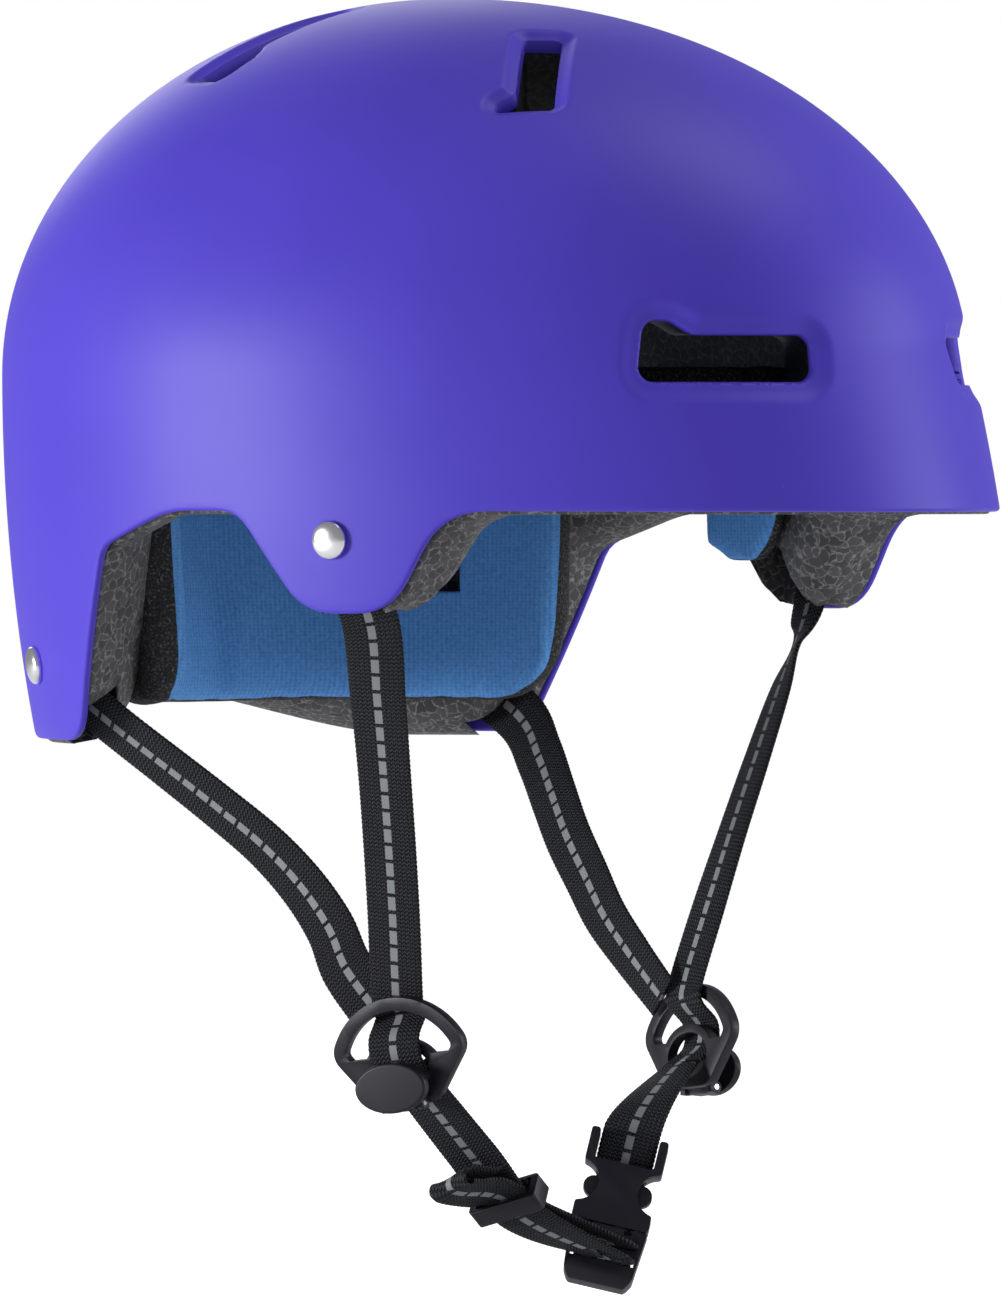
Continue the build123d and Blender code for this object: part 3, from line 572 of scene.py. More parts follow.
def shell_mesh():
    rows = DOME_ROWS + SKIRT_ROWS + len(RIM_PROFILE)
    bm = bmesh.new()
    bmesh.ops.create_grid(bm, x_segments=COLUMNS, y_segments=rows, size=0.5)
    turns = even_turns(COLUMNS, RIM_RADIUS)
    rims = []
    for k in range(COLUMNS):
        place = rim_place(turns[k], RIM_RADIUS)
        ahead = rim_place(turns[k] + RIM_NUDGE, RIM_RADIUS) - rim_place(turns[k] - RIM_NUDGE, RIM_RADIUS)
        out = skin_normal(place)
        down = out.cross(ahead.normalized()).normalized()
        rims.append((place, out, down if down.z < 0 else -down))
    for vert in bm.verts:
        column, row = grid_spot(vert, COLUMNS, rows)
        column %= COLUMNS
        place, out, down = rims[column]
        if row <= DOME_ROWS:
            vert.co = skin_point(turns[column], CROWN_HEIGHT * cos(pi / 2 * row / DOME_ROWS))
        elif row <= DOME_ROWS + SKIRT_ROWS:
            vert.co = skin_point(turns[column], place.z * (row - DOME_ROWS) / SKIRT_ROWS)
        else:
            fall, depth = RIM_PROFILE[row - DOME_ROWS - SKIRT_ROWS - 1]
            vert.co = place + down * fall - out * depth
    bmesh.ops.remove_doubles(bm, verts=bm.verts, dist=MERGE)
    return bm


bm = shell_mesh()
print("grid faces:", len(bm.faces))

# %% [markdown]
# Round each vent the faces are divided finely. Every vertex there sinks by its distance from the opening,
# those close to the outline snap onto it, and the faces left inside are deleted. The left half follows
# from the right half, because the distances are measured with X folded over.

# %% Vents of the shell
VENT_RECESS, LIP_WIDTH, LIP_DROP, WALL_DEPTH = 0.0016, 0.0011, 0.0003, 0.0052
VENT_BESIDE, VERT_BESIDE = 0.0018, 0.006
SNAP, SPOT_NUDGE = 0.00034, 0.0001


def folded(vector, side):
    return Vector((vector.x * side, vector.y, vector.z))


def vent_spot(item, point):
    """Place of a point in a vent's frame: along, across and out."""
    gap = point - item["place"]
    return Vector((gap.dot(item["along"]), gap.dot(item["across"]))), gap.dot(item["out"])


def far_from(item, spot):
    """Signed distance of a spot from a vent's opening."""
    return distance_to(item["outline"], spot, item["radius"])


def soft_step(value):
    value = min(max(value, 0), 1)
    return value * value * (3 - 2 * value)


def sink(distance, soft):
    """How deep the skin lies at a distance from a vent's opening."""
    slope = soft_step((VENT_MARGIN + soft - distance) / soft)
    return VENT_RECESS * slope + LIP_DROP * soft_step((LIP_WIDTH - distance) / LIP_WIDTH)


def near_vent(item, point):
    """Whether a place of the skin lies in a vent's recess or just beside it."""
    if (point - item["place"]).length > item["reach"]:
        return False
    return far_from(item, vent_spot(item, onto_skin(point))[0]) < VENT_MARGIN + item["soft"] + VENT_BESIDE


def sunk(item, point):
    """A point of the skin sunk as the vent asks, and whether it lies inside the opening."""
    point = onto_skin(point)
    spot, height = vent_spot(item, point)
    far = far_from(item, spot)
    if far >= VENT_MARGIN + item["soft"]:
        return point, False
    slope = Vector((far_from(item, spot + Vector((SPOT_NUDGE, 0))) - far,
                    far_from(item, spot + Vector((0, SPOT_NUDGE))) - far)).normalized()
    goal = far
    if abs(far) <= SNAP:
        goal = 0.0
    elif -4 * SNAP <= far < 0:
        goal = -SNAP
    spot = spot + slope * (goal - far)
    flat = item["place"] + item["along"] * spot.x + item["across"] * spot.y + item["out"] * height
    depth = sink(goal, item["soft"]) if goal >= 0 else WALL_DEPTH
    return onto_skin(flat) - item["out"] * depth, far < -SNAP


def cut_vent(bm, item, side):
    """Fine faces round a vent, sunk to its depth, and the faces inside the opening removed."""
    near = [face for face in bm.faces if near_vent(item, folded(face.calc_center_median(), side))]
    edges = list(dict.fromkeys(edge for face in near for edge in face.edges))
    bmesh.ops.subdivide_edges(bm, edges=edges, cuts=3, use_grid_fill=True)
    inner = set()
    for vert in bm.verts:
        point = folded(vert.co, side)
        if (point - item["place"]).length <= item["reach"] + VERT_BESIDE:
            point, inside = sunk(item, point)
            vert.co = folded(point, side)
            if inside:
                inner.add(vert)
    gone = [face for face in bm.faces if all(vert in inner for vert in face.verts)]
    bmesh.ops.delete(bm, geom=gone, context="FACES")


for side in (1, -1):
    for item in RIGHT_VENTS:
        cut_vent(bm, item, side)
bmesh.ops.recalc_face_normals(bm, faces=bm.faces)
shell = finished("helmet_shell", bm)
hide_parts("shell")
print("shell faces:", len(shell.data.polygons))

# %% [markdown]
# The shell is hard plastic with a soft satin coat. The coat scatters the studio light into broad pale
# areas, so the roughness matters more than the colour. A faint cloudiness in the colour and a relief far
# finer than a millimetre keep it from looking like a screen colour.

# %% Satin purple plastic
PURPLE, DEEP_PURPLE = (0.086, 0.056, 0.580), (0.079, 0.051, 0.550)
shell_finish = mottled("satin_purple", 18.0, ((0.35, DEEP_PURPLE), (0.65, PURPLE)),
                       (2600.0, 1.0, 0.00002, 0.5), Roughness=0.46, Specular_IOR_Level=0.24)
coat(shell, shell_finish)
print("shell finish:", shell_finish.name)

# %% [markdown]
# The liner is a thick block of expanded foam. Where it was moulded its skin shows the beads that it was
# blown from, flattened against each other with pale seams between them. A Voronoi texture gives just that
# pattern: its cells are the beads, and its distance to the edge draws the seams. Higher up in the hollow
# the colour is darkened by its height, as painted shade for the dark inside of the hollow.

# %% Beaded foam
BEAD_SIZE, BEAD_WARP = 0.0029, 0.0022
SEAM_COLOUR = (0.24, 0.235, 0.235)


def beaded_foam():
    material, tree, shader = shade("beaded_foam", Roughness=0.62)
    place = object_place(tree)
    warp = add(tree, "TexNoise", Scale=420.0, Detail=2.0)
    tree.links.new(place, warp.inputs["Vector"])
    shift = add(tree, "MixRGB", {"blend_type": "ADD"}, Fac=BEAD_WARP)
    tree.links.new(place, shift.inputs["Color1"])
    tree.links.new(warp.outputs["Color"], shift.inputs["Color2"])
    seams = add(tree, "TexVoronoi", {"feature": "DISTANCE_TO_EDGE"}, Scale=1 / BEAD_SIZE)
    cells = add(tree, "TexVoronoi", {"feature": "F1"}, Scale=1 / BEAD_SIZE)
    for texture in (seams, cells):
        tree.links.new(shift.outputs["Color"], texture.inputs["Vector"])
    tone = ramp(tree, cells.outputs["Color"], (0.15, (0.030, 0.030, 0.034)), (0.85, (0.070, 0.069, 0.074)))
    broken = noise(tree, place, 700.0, 4.0)
    edge = plus(tree, seams.outputs["Distance"], times(tree, broken, 0.34))
    line = ramp(tree, edge, (0.13, (1, 1, 1)), (0.25, (0, 0, 0)))
    colour = painted(tree, shader, line, tone, SEAM_COLOUR)
    # Painted shade: the colour is darkened with height, for the shade deep inside the hollow.
    parts = add(tree, "SeparateXYZ")
    tree.links.new(place, parts.inputs[0])
    height = plus(tree, times(tree, parts.outputs[2], 10.0), 0.5)
    painted_hollow_shade = add(tree, "MixRGB", {"blend_type": "MULTIPLY"}, Fac=1.0)
    tree.links.new(colour, painted_hollow_shade.inputs["Color1"])
    tree.links.new(ramp(tree, height, (0.16, (1, 1, 1)), (0.38, (0.22, 0.22, 0.22))), painted_hollow_shade.inputs["Color2"])
    tree.links.new(painted_hollow_shade.outputs["Color"], shader.inputs["Base Color"])
    bumped(tree, shader, edge, 0.0004, 0.6)
    return material


foam_finish = beaded_foam()
print("bead size:", BEAD_SIZE)

# %% [markdown]
# The liner follows the shell inside, just clear of it, and its lower edge turns round in a soft corner to
# the hollow for the head. One grid again does both walls: its rows run down the outside, round the edge
# and up the inside.

# %% Form of the liner
LINER_CLEAR = 0.0003
LINER_OUTER = inset_size(SHELL_WALL + LINER_CLEAR)
LINER_INNER = (0.0820, 0.1230, 0.0970, 0.0720, 0.0)
LINER_RAISED, OUTER_CORNER = -0.0008, 0.0012
INNER_CORNER_IN, INNER_CORNER_UP = 0.0170, 0.0215
LINER_COLUMNS, OUTER_ROWS, INNER_ROWS, SIDE_ROWS = 300, 30, 24, 8
CORNER_TURNS = (0, 18, 36, 54, 72, 90)


def wall_rows(turn, size, top_rows, low):
    """Places down one wall, from the crown to just above its lower corner."""
    places = [skin_point(turn, size[3] * cos(pi / 2 * k / top_rows), size) for k in range(top_rows + 1)]
    places += [skin_point(turn, low * (k + 1) / SIDE_ROWS, size) for k in range(SIDE_ROWS)]
    return places


def liner_column(turn):
    outer = rim_place(turn, LINER_RAISED, LINER_OUTER)
    inner = rim_place(turn, LINER_RAISED, LINER_INNER)
    aside = inner - outer
    aside.z = 0
    aside.normalize()
    column = wall_rows(turn, LINER_OUTER, OUTER_ROWS, outer.z + OUTER_CORNER)
    for t in CORNER_TURNS[1:]:
        spot = outer + aside * OUTER_CORNER * (1 - cos(radians(t)))
        spot.z = edge_level(spot) + LINER_RAISED + OUTER_CORNER * (1 - sin(radians(t)))
        column.append(spot)
    for t in reversed(CORNER_TURNS[:-1]):
        spot = inner - aside * INNER_CORNER_IN * (1 - cos(radians(t)))
        spot.z = edge_level(spot) + LINER_RAISED + INNER_CORNER_UP * (1 - sin(radians(t)))
        column.append(spot)
    return column + wall_rows(turn, LINER_INNER, INNER_ROWS, inner.z + INNER_CORNER_UP)[::-1][1:]


def liner_mesh():
    turns = even_turns(LINER_COLUMNS, LINER_RAISED)
    columns = [liner_column(turn) for turn in turns]
    rows = len(columns[0]) - 1
    bm = bmesh.new()
    bmesh.ops.create_grid(bm, x_segments=LINER_COLUMNS, y_segments=rows, size=0.5)
    for vert in bm.verts:
        column, row = grid_spot(vert, LINER_COLUMNS, rows)
        vert.co = columns[column % LINER_COLUMNS][row]
    bmesh.ops.remove_doubles(bm, verts=bm.verts, dist=MERGE)
    return bm


liner_form = liner_mesh()
bmesh.ops.recalc_face_normals(liner_form, faces=liner_form.faces)
print("liner columns:", LINER_COLUMNS)

# %% [markdown]
# The vents go on through the liner, and the riveted strap ends lie in pockets of it. Each of these rooms is
# a block in its own axes, with its upright edges bevelled, that is then turned to its place.

# %% Rooms in the liner
VENT_ROOM_FLOOR, VENT_ROOM_HEIGHT, UPRIGHT = -0.045, 0.055, 0.01
POCKET_WIDTH, POCKET_CORNER, POCKET_ABOVE, POCKET_START, POCKET_EXTRA = 0.018, 0.006, 0.006, 0.008, 0.022
POCKETS = (
    ((-0.09330, -0.04770, -0.04230), (-0.08530, -0.05060, -0.06350), (-0.9790, -0.1880, -0.0740), 0.0200),
    ((-0.07530, 0.06840, -0.07480), (-0.07680, 0.04600, -0.09050), (-0.8400, 0.5280, -0.1290), 0.0100),
)


def cutter(bm, place, along, across, out):
    """Turns a cutting block from its own axes to a frame on the helmet."""
    turn = Matrix((along, across, out)).transposed().to_4x4()
    bmesh.ops.transform(bm, matrix=Matrix.Translation(place) @ turn, verts=bm.verts)


def vent_block(item):
    """The room of a vent, from outside the shell to inside the liner, with its square corners rounded."""
    bm = bmesh.new()
    low = [bm.verts.new((corner.x, corner.y, VENT_ROOM_FLOOR)) for corner in item["corners"]]
    face = bm.faces.new(low)
    raised = bmesh.ops.extrude_face_region(bm, geom=[face])
    top = [part for part in raised["geom"] if isinstance(part, bmesh.types.BMVert)]
    bmesh.ops.translate(bm, vec=(0, 0, VENT_ROOM_HEIGHT), verts=top)
    sharp = [edge for vert in (low[0], low[1], low[2], low[-1]) for edge in vert.link_edges
             if abs(edge.verts[0].co.z - edge.verts[1].co.z) > UPRIGHT]
    bmesh.ops.bevel(bm, geom=sharp, offset=item["radius"], segments=5, profile=0.5, affect="EDGES",
                    material=-1)
    bmesh.ops.triangulate(bm, faces=bm.faces[:])
    cutter(bm, item["place"], item["along"], item["across"], item["out"])
    return bm


def pocket_block(rivet, leave, out, depth):
    """The room of a strap's riveted end, with round corners."""
    rivet, leave, out = Vector(rivet), Vector(leave), Vector(out).normalized()
    along = leave - rivet
    along = (along - out * along.dot(out)).normalized()
    length = (leave - rivet).length + POCKET_EXTRA
    bm = bmesh.new()
    bmesh.ops.create_cube(bm, size=1.0)
    bmesh.ops.scale(bm, vec=(length, POCKET_WIDTH, depth + POCKET_ABOVE), verts=bm.verts)
    upright = [edge for edge in bm.edges if abs(edge.verts[0].co.z - edge.verts[1].co.z) > MERGE]
    bmesh.ops.bevel(bm, geom=upright, offset=POCKET_CORNER, segments=6, profile=0.5, affect="EDGES",
                    material=-1)
    middle = (length / 2 - POCKET_START, 0, (POCKET_ABOVE - depth) / 2)
    bmesh.ops.translate(bm, vec=middle, verts=bm.verts)
    cutter(bm, rivet, along, out.cross(along), out)
    return bm


rooms = [vent_block(item) for item in RIGHT_VENTS] + [pocket_block(*pocket) for pocket in POCKETS]
print("rooms on each side:", len(rooms))

# %% [markdown]
# A Boolean modifier takes each room, and its mirror image, out of the liner. Every modifier is applied at
# once, so that the mesh itself holds the shape. The one carved piece stands for all blocks of the frame.

# %% Carved liner
def settle(piece):
    """Applies every modifier, so that the mesh itself holds the shape."""
    graph = bpy.context.evaluated_depsgraph_get()
    mesh = bpy.data.meshes.new_from_object(piece.evaluated_get(graph))
    piece.modifiers.clear()
    piece.data = mesh


def carve(piece, blocks):
    """Cuts every block, and its mirror image, out of a piece."""
    for block in blocks:
        for side in (1, -1):
            twin = block.copy()
            if side < 0:
                bmesh.ops.scale(twin, vec=(-1, 1, 1), verts=twin.verts)
            bmesh.ops.recalc_face_normals(twin, faces=twin.faces)
            mesh = bpy.data.meshes.new("block")
            twin.to_mesh(mesh)
            twin.free()
            tool = bpy.data.objects.new("block", mesh)
            bpy.context.scene.collection.objects.link(tool)
            cut = piece.modifiers.new("cut", "BOOLEAN")
            cut.operation, cut.solver, cut.object = "DIFFERENCE", "EXACT", tool
            settle(piece)
            bpy.data.objects.remove(tool)
        block.free()


liner = finished("foam_liner", liner_form)
carve(liner, rooms)
coat(liner, foam_finish)
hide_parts(*[name for name in nodes if name.startswith("liner")])
print("liner faces:", len(liner.data.polygons))

# %% [markdown]
# Four rivets hold the straps. Each has a domed steel cap outside, polished almost like a mirror. A cap is
# a profile spun round its axis: a short upright rim, a tight corner and a low dome. The washers inside and
# the pins of the dividers keep their solids and get the same steel.

# %% Rivet caps
CAP_RADIUS, CAP_RISE, CAP_RIM, CAP_SUNK, CAP_PROUD = 0.0049, 0.0024, 0.0007, 0.0006, 0.00015
CAP_TURNS, CAP_STEPS = 64, 8
CAP_MERGE, MIRROR_MERGE = 0.00002, 0.000001
RIVETS = (("ear", -0.0486, -0.0427), ("rear", 0.0710, -0.0754))
STEEL, DARK_STEEL = (0.93, 0.93, 0.94), (0.86, 0.86, 0.87)
steel_finish = mottled("polished_steel", 240.0, ((0.3, DARK_STEEL), (0.7, STEEL)),
                       (1500.0, 2.0, 0.00001, 0.3), Metallic=1.0, Roughness=0.22)


def rivet_caps(name, station, level):
    bm = bmesh.new()
    profile = [(CAP_RADIUS * 0.86, -CAP_SUNK), (CAP_RADIUS, 0.0), (CAP_RADIUS, CAP_RIM)]
    for k in range(1, CAP_STEPS + 1):
        t = pi / 2 * k / CAP_STEPS
        profile.append((CAP_RADIUS * cos(t) ** 0.8, CAP_RIM + (CAP_RISE - CAP_RIM) * sin(t)))
    chain = [bm.verts.new((radius, 0, height)) for radius, height in profile]
    edges = [bm.edges.new(pair) for pair in zip(chain, chain[1:])]
    bmesh.ops.spin(bm, geom=chain + edges, cent=(0, 0, 0), axis=(0, 0, 1), angle=2 * pi, steps=CAP_TURNS,
                   use_merge=True)
    bmesh.ops.remove_doubles(bm, verts=bm.verts, dist=CAP_MERGE)
    bmesh.ops.recalc_face_normals(bm, faces=bm.faces)
    half, front, rear = section(level)
    reach = front if station < 0 else rear
    place = Vector((-half * sqrt(1 - (station / reach) ** 2), station, level))
    out = Vector((place.x / half ** 2, place.y / reach ** 2, level / TAPER_DEPTH ** 2)).normalized()
    turn = out.to_track_quat("Z", "Y").to_matrix().to_4x4()
    bmesh.ops.transform(bm, matrix=Matrix.Translation(place + out * CAP_PROUD) @ turn, verts=bm.verts)
    bmesh.ops.mirror(bm, geom=bm.verts[:] + bm.edges[:] + bm.faces[:], axis="X", merge_dist=MIRROR_MERGE)
    bmesh.ops.recalc_face_normals(bm, faces=bm.faces)
    caps = finished(name + "_caps", bm)
    coat(caps, steel_finish)
    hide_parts(name + "_rivet_caps")
    return caps


for name, station, level in RIVETS:
    caps = rivet_caps(name, station, level)
    print(caps.name, len(caps.data.polygons))
for name in ("ear_rivet_washers", "rear_rivet_washers", "divider_pin_right", "divider_pin_left"):
    coat(nodes[name], steel_finish)

# %% [markdown]
# A comfort pad is open foam with a knitted blue cloth laminated to the face that touches the head. Its cut
# ends show the black foam. A single material can do both: every vertex keeps how deep it lies in the pad
# as an attribute, and the material changes from foam to cloth where that depth passes the glue line.

# %% Laminated pad
KNIT_PITCH, KNIT_ROW, WRAP_RADIUS = 0.00125, 0.00090, 0.072
GLUE_LINE = 0.66


def laminated_pad():
    material, tree, shader = shade("laminated_pad", Roughness=0.9, Specular_IOR_Level=0.25)
    place = object_place(tree)
    parts = add(tree, "SeparateXYZ")
    tree.links.new(place, parts.inputs[0])
    x, y, z = parts.outputs
    around = times(tree, math_of(tree, "ARCTAN2", y, x), 2 * pi * WRAP_RADIUS / KNIT_PITCH)
    upward = times(tree, z, 2 * pi / KNIT_ROW)
    rib = math_of(tree, "SINE", around)
    stitch = math_of(tree, "SINE", plus(tree, upward, times(tree, rib, 1.2)))
    knit = plus(tree, times(tree, rib, 0.12), times(tree, stitch, 0.10))
    knit = plus(tree, knit, noise(tree, place, 1100.0, 3.0))
    cloth = ramp(tree, knit, (0.05, (0.058, 0.210, 0.560)), (0.95, (0.160, 0.440, 0.920)))
    grains = noise(tree, place, 1500.0, 3.0)
    foam = ramp(tree, grains, (0.44, (0.020, 0.020, 0.022)), (0.58, (0.046, 0.045, 0.048)),
                (0.70, (0.13, 0.13, 0.14)))
    depth = add(tree, "Attribute", {"attribute_name": "depth"}).outputs["Fac"]
    ragged = plus(tree, depth, times(tree, noise(tree, place, 300.0), 0.02))
    face = ramp(tree, ragged, (GLUE_LINE, (0, 0, 0)), (GLUE_LINE + 0.02, (1, 1, 1)))
    painted(tree, shader, face, foam, cloth)
    bumped(tree, shader, knit, 0.0003, 0.5)
    return material


pad_finish = laminated_pad()
print("knit pitch:", KNIT_PITCH)

# %% [markdown]
# Each pad starts as a flat grid with rounded corners, gets its thickness, and is bent onto the hollow of
# the liner. So a pad needs a way to turn a flat spot and a depth into a place: one for the side of the
# hollow and one for its crown.

# %% Flat pads bent to the hollow
PAD_GAP, PAD_SHY, CELL = 0.0003, 0.0010, 0.004
CROWN_LEVEL = 0.03


def wall_depth(point):
    """How far a point lies inside the liner's hollow."""
    share, in_dome = out_share(point, CROWN_LEVEL, LINER_INNER)
    length = point.length if in_dome else Vector((point.x, point.y)).length
    return length * (1 / share - 1)


def wall_spot(first, last, low, high):
    """Bends a flat pad onto the side of the hollow, between two directions and two levels."""
    def spot(s, t, depth):
        size = tuple(value - depth for value in LINER_INNER[:4]) + (0.0,)
        return skin_point(first + (last - first) * s, low + (high - low) * t, size)
    return spot


def dome_spot(width, length):
    """Bends a flat pad onto the crown of the hollow."""
    def spot(s, t, depth):
        half, front, rear, height = (value - depth for value in LINER_INNER[:4])
        x, y = (s - 0.5) * width, (t - 0.5) * length
        return Vector((x, y, height * sqrt(1 - (x / half) ** 2 - (y / (rear if y > 0 else front)) ** 2)))
    return spot


def pad_mesh(length, height, corner, thickness, spot):
    bm = bmesh.new()
    bmesh.ops.create_grid(bm, x_segments=ceil(length / CELL), y_segments=ceil(height / CELL), size=0.5)
    raised = bmesh.ops.extrude_face_region(bm, geom=bm.faces[:])
    front = {part for part in raised["geom"] if isinstance(part, bmesh.types.BMVert)}
    for vert in bm.verts:
        place = [vert.co.x * length, vert.co.y * height]
        beyond = [abs(place[0]) - length / 2 + corner, abs(place[1]) - height / 2 + corner]
        if min(beyond) > 0:
            draw = max(beyond) / sqrt(beyond[0] ** 2 + beyond[1] ** 2)
            for axis, size in enumerate((length, height)):
                flat = size / 2 - corner + beyond[axis] * draw
                place[axis] = flat if place[axis] > 0 else -flat
        depth = PAD_GAP + (thickness - PAD_SHY if vert in front else 0)
        vert.co = spot(place[0] / length + 0.5, place[1] / height + 0.5, depth)
    bmesh.ops.recalc_face_normals(bm, faces=bm.faces)
    return bm


print("cell of a pad:", CELL)

# %% [markdown]
# A remesh makes the faces of a pad even. A short cloth simulation with a little pressure inside then rounds
# it like real foam, while its back stays glued to the liner, and each move is held to a small limit. The
# rear pad has two small windows, cut out like the rooms of the liner.

# %% Plumped pads
VOXEL, SWELL, GLUED_SHARE, PRESSURE, CLOTH_STEPS = 0.004, 0.0016, 0.35, 4.0, 20


def plumped(piece, thickness):
    """Even faces, then a little pressure inside, with the back held."""
    remesh = piece.modifiers.new("even", "REMESH")
    remesh.mode, remesh.voxel_size, remesh.use_smooth_shade = "VOXEL", VOXEL, True
    settle(piece)
    rest = [vert.co.copy() for vert in piece.data.vertices]
    back = piece.vertex_groups.new(name="back")
    glued = [k for k, co in enumerate(rest) if wall_depth(co) < thickness * GLUED_SHARE]
    back.add(glued, 1.0, "REPLACE")
    cloth = piece.modifiers.new("cloth", "CLOTH")
    cloth.settings.use_pressure = True
    cloth.settings.uniform_pressure_force = PRESSURE
    cloth.settings.effector_weights.gravity = 0.0
    cloth.settings.vertex_group_mass = "back"
    for step in range(CLOTH_STEPS):
        bpy.context.scene.frame_set(step + 1)
    settle(piece)
    bpy.context.scene.frame_set(1)
    for vert, start in zip(piece.data.vertices, rest):
        move = vert.co - start
        if move.length > SWELL:
            vert.co = start + move * SWELL / move.length
    smooth = piece.modifiers.new("smooth", "SUBSURF")
    smooth.levels = smooth.render_levels = 1
    settle(piece)


def window_block(size, place):
    """The room of a window that looks straight out from the middle of the hollow."""
    bm = bmesh.new()
    bmesh.ops.create_cube(bm, size=1.0)
    bmesh.ops.scale(bm, vec=size, verts=bm.verts)
    out, upward = Vector((place[0], place[1], 0)).normalized(), Vector((0, 0, 1))
    cutter(bm, Vector(place), out, upward.cross(out), upward)
    return bm


def pad(name, length, height, corner, thickness, spot, windows=()):
    piece = finished(name, pad_mesh(length, height, corner, thickness, spot))
    plumped(piece, thickness)
    carve(piece, windows)
    depth = piece.data.attributes.new("depth", "FLOAT", "POINT")
    for vert, value in zip(piece.data.vertices, depth.data):
        value.value = wall_depth(vert.co) / thickness
    coat(piece, pad_finish)
    for face in piece.data.polygons:
        face.use_smooth = True
    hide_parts(name + "_foam", name + "_cover")
    print(name, "faces:", len(piece.data.polygons))


THICK, THIN = 0.0128, 0.0078
window = window_block((0.060, 0.011, 0.016), (0.0643, 0.0601, -0.0490))
pad("pad_rear", 0.205, 0.0705, 0.019, THICK, wall_spot(2.7165, 0.2501, -0.0865, -0.0160), [window])
pad("pad_side_right", 0.036, 0.0465, 0.016, THIN, wall_spot(pi + 0.5095, pi + 0.2047, -0.0495, -0.0030))
pad("pad_side_left", 0.036, 0.0465, 0.016, THIN, wall_spot(-0.5095, -0.2047, -0.0495, -0.0030))
pad("pad_front", 0.112, 0.0260, 0.007, THIN,
    wall_spot(1.5 * pi - 0.6868, 1.5 * pi + 0.6868, -0.0240, 0.0020))
pad("pad_crown", 0.070, 0.092, 0.024, THIN, dome_spot(0.070, 0.092))

# %% [markdown]
# The straps are flat woven tape. A tape is a thin section swept along its route, so each one starts as a
# grid: across it runs round the section and along it follows the route. The grid's UV map is kept in
# metres, so that the weave and the pale dashes down the middle have their true size on every strap.

# %% Woven tape
TAPE_WIDTH, TAPE_THICK = 0.0150, 0.0014
DASH_PITCH, DASH_LENGTH, DASH_WIDTH = 0.0046, 0.0036, 0.0021
DASH_COLOUR = (0.23, 0.24, 0.25)
RIB_PITCH, RIB_ROW = 0.00125, 0.00105


def woven_tape():
    material, tree, shader = shade("woven_tape", Roughness=0.7, Specular_IOR_Level=0.3)
    parts = add(tree, "SeparateXYZ")
    tree.links.new(add(tree, "TexCoord").outputs["UV"], parts.inputs[0])
    u, v = parts.outputs[0], parts.outputs[1]
    fold = math_of(tree, "PINGPONG", u, RIB_PITCH / 2)
    slant = plus(tree, times(tree, fold, 0.9), v)
    weft = math_of(tree, "SINE", times(tree, slant, 2 * pi / RIB_ROW))
    warp = math_of(tree, "SINE", times(tree, u, 4 * pi / RIB_PITCH))
    weave = plus(tree, times(tree, weft, 0.40), times(tree, warp, 0.10))
    weave = plus(tree, weave, 0.5)
    # Yarn colour: the black weave pattern, with a painted sheen that lightens the raised crests of the weave.
    yarn_and_sheen = ramp(tree, weave, (0.40, (0.0015, 0.0015, 0.0025)), (0.90, (0.040, 0.042, 0.056)))
    middle = math_of(tree, "ABSOLUTE", u)
    inside = math_of(tree, "LESS_THAN", middle, DASH_WIDTH / 2)
    run = math_of(tree, "MODULO", plus(tree, v, 1.0), DASH_PITCH)
    along = math_of(tree, "LESS_THAN", run, DASH_LENGTH)
    dash = times(tree, inside, along)
    painted(tree, shader, dash, yarn_and_sheen, DASH_COLOUR)
    relief = math_of(tree, "MAXIMUM", weave, dash)
    bumped(tree, shader, relief, 0.0006, 1.0)
    return material


tape_finish = woven_tape()
print("tape width:", TAPE_WIDTH)

# %% [markdown]
# A route is a short list of places on the strap's middle line, each with the way its width lies there.
# The places are in millimetres, read from the pockets down to the dividers and on to the buckle. The near
# and the far straps hang a little differently, so each has its own route.

# %% Routes of the straps
NEAR_EAR_ROUTE = (
    (-94.0, -46.5, -36.0, 0.169, -0.965, 0.203), (-93.3, -47.7, -42.3, 0.170, -0.965, 0.201),
    (-92.6, -48.9, -48.7, 0.171, -0.966, 0.197), (-85.3, -50.6, -63.5, 0.420, -0.880, 0.225),
    (-78.7, -47.2, -82.6, 0.356, -0.933, 0.051), (-72.6, -43.9, -101.7, 0.240, -0.960, 0.060),
    (-66.8, -40.5, -120.7, 0.210, -0.967, 0.120), (-61.4, -37.1, -139.8, 0.200, -0.968, 0.140),
)
FAR_EAR_ROUTE = (
    (94.0, -46.5, -36.0, -0.169, -0.965, 0.203), (93.3, -47.7, -42.3, -0.170, -0.965, 0.201),
    (92.6, -48.9, -48.7, -0.150, -0.968, 0.195), (85.3, -50.6, -63.5, -0.300, -0.931, 0.167),
    (82.6, -49.4, -71.0, -0.682, -0.723, 0.107), (78.7, -47.2, -82.6, -0.508, -0.861, 0.011),
    (72.6, -43.9, -101.7, -0.392, -0.919, 0.030), (66.8, -40.5, -120.7, -0.318, -0.945, 0.075),
    (61.4, -37.1, -139.8, -0.220, -0.966, 0.130),
)
EAR_ENDS = (
    (-56.5, -33.7, -158.9, 0.21, -0.968, 0.12), (-55.7, -34.2, -164.2, 0.22, -0.969, 0.11),
    (-60.0, -35.8, -169.7, 0.22, -0.969, 0.11), (-59.2, -36.3, -175.7, 0.22, -0.969, 0.11),
    (-53.5, -35.5, -179.6, 0.22, -0.969, 0.11),
)
REAR_STARTS = ((-73.2, 72.9, -70.6, -0.429, -0.499, 0.753), (-75.3, 68.4, -74.8, -0.383, -0.574, 0.724))
REAR_ENDS = ((-55.9, -16.0, -152.5, 0.163, -0.969, 0.186), (-55.9, -26.3, -162.9, 0.220, -0.969, 0.112))
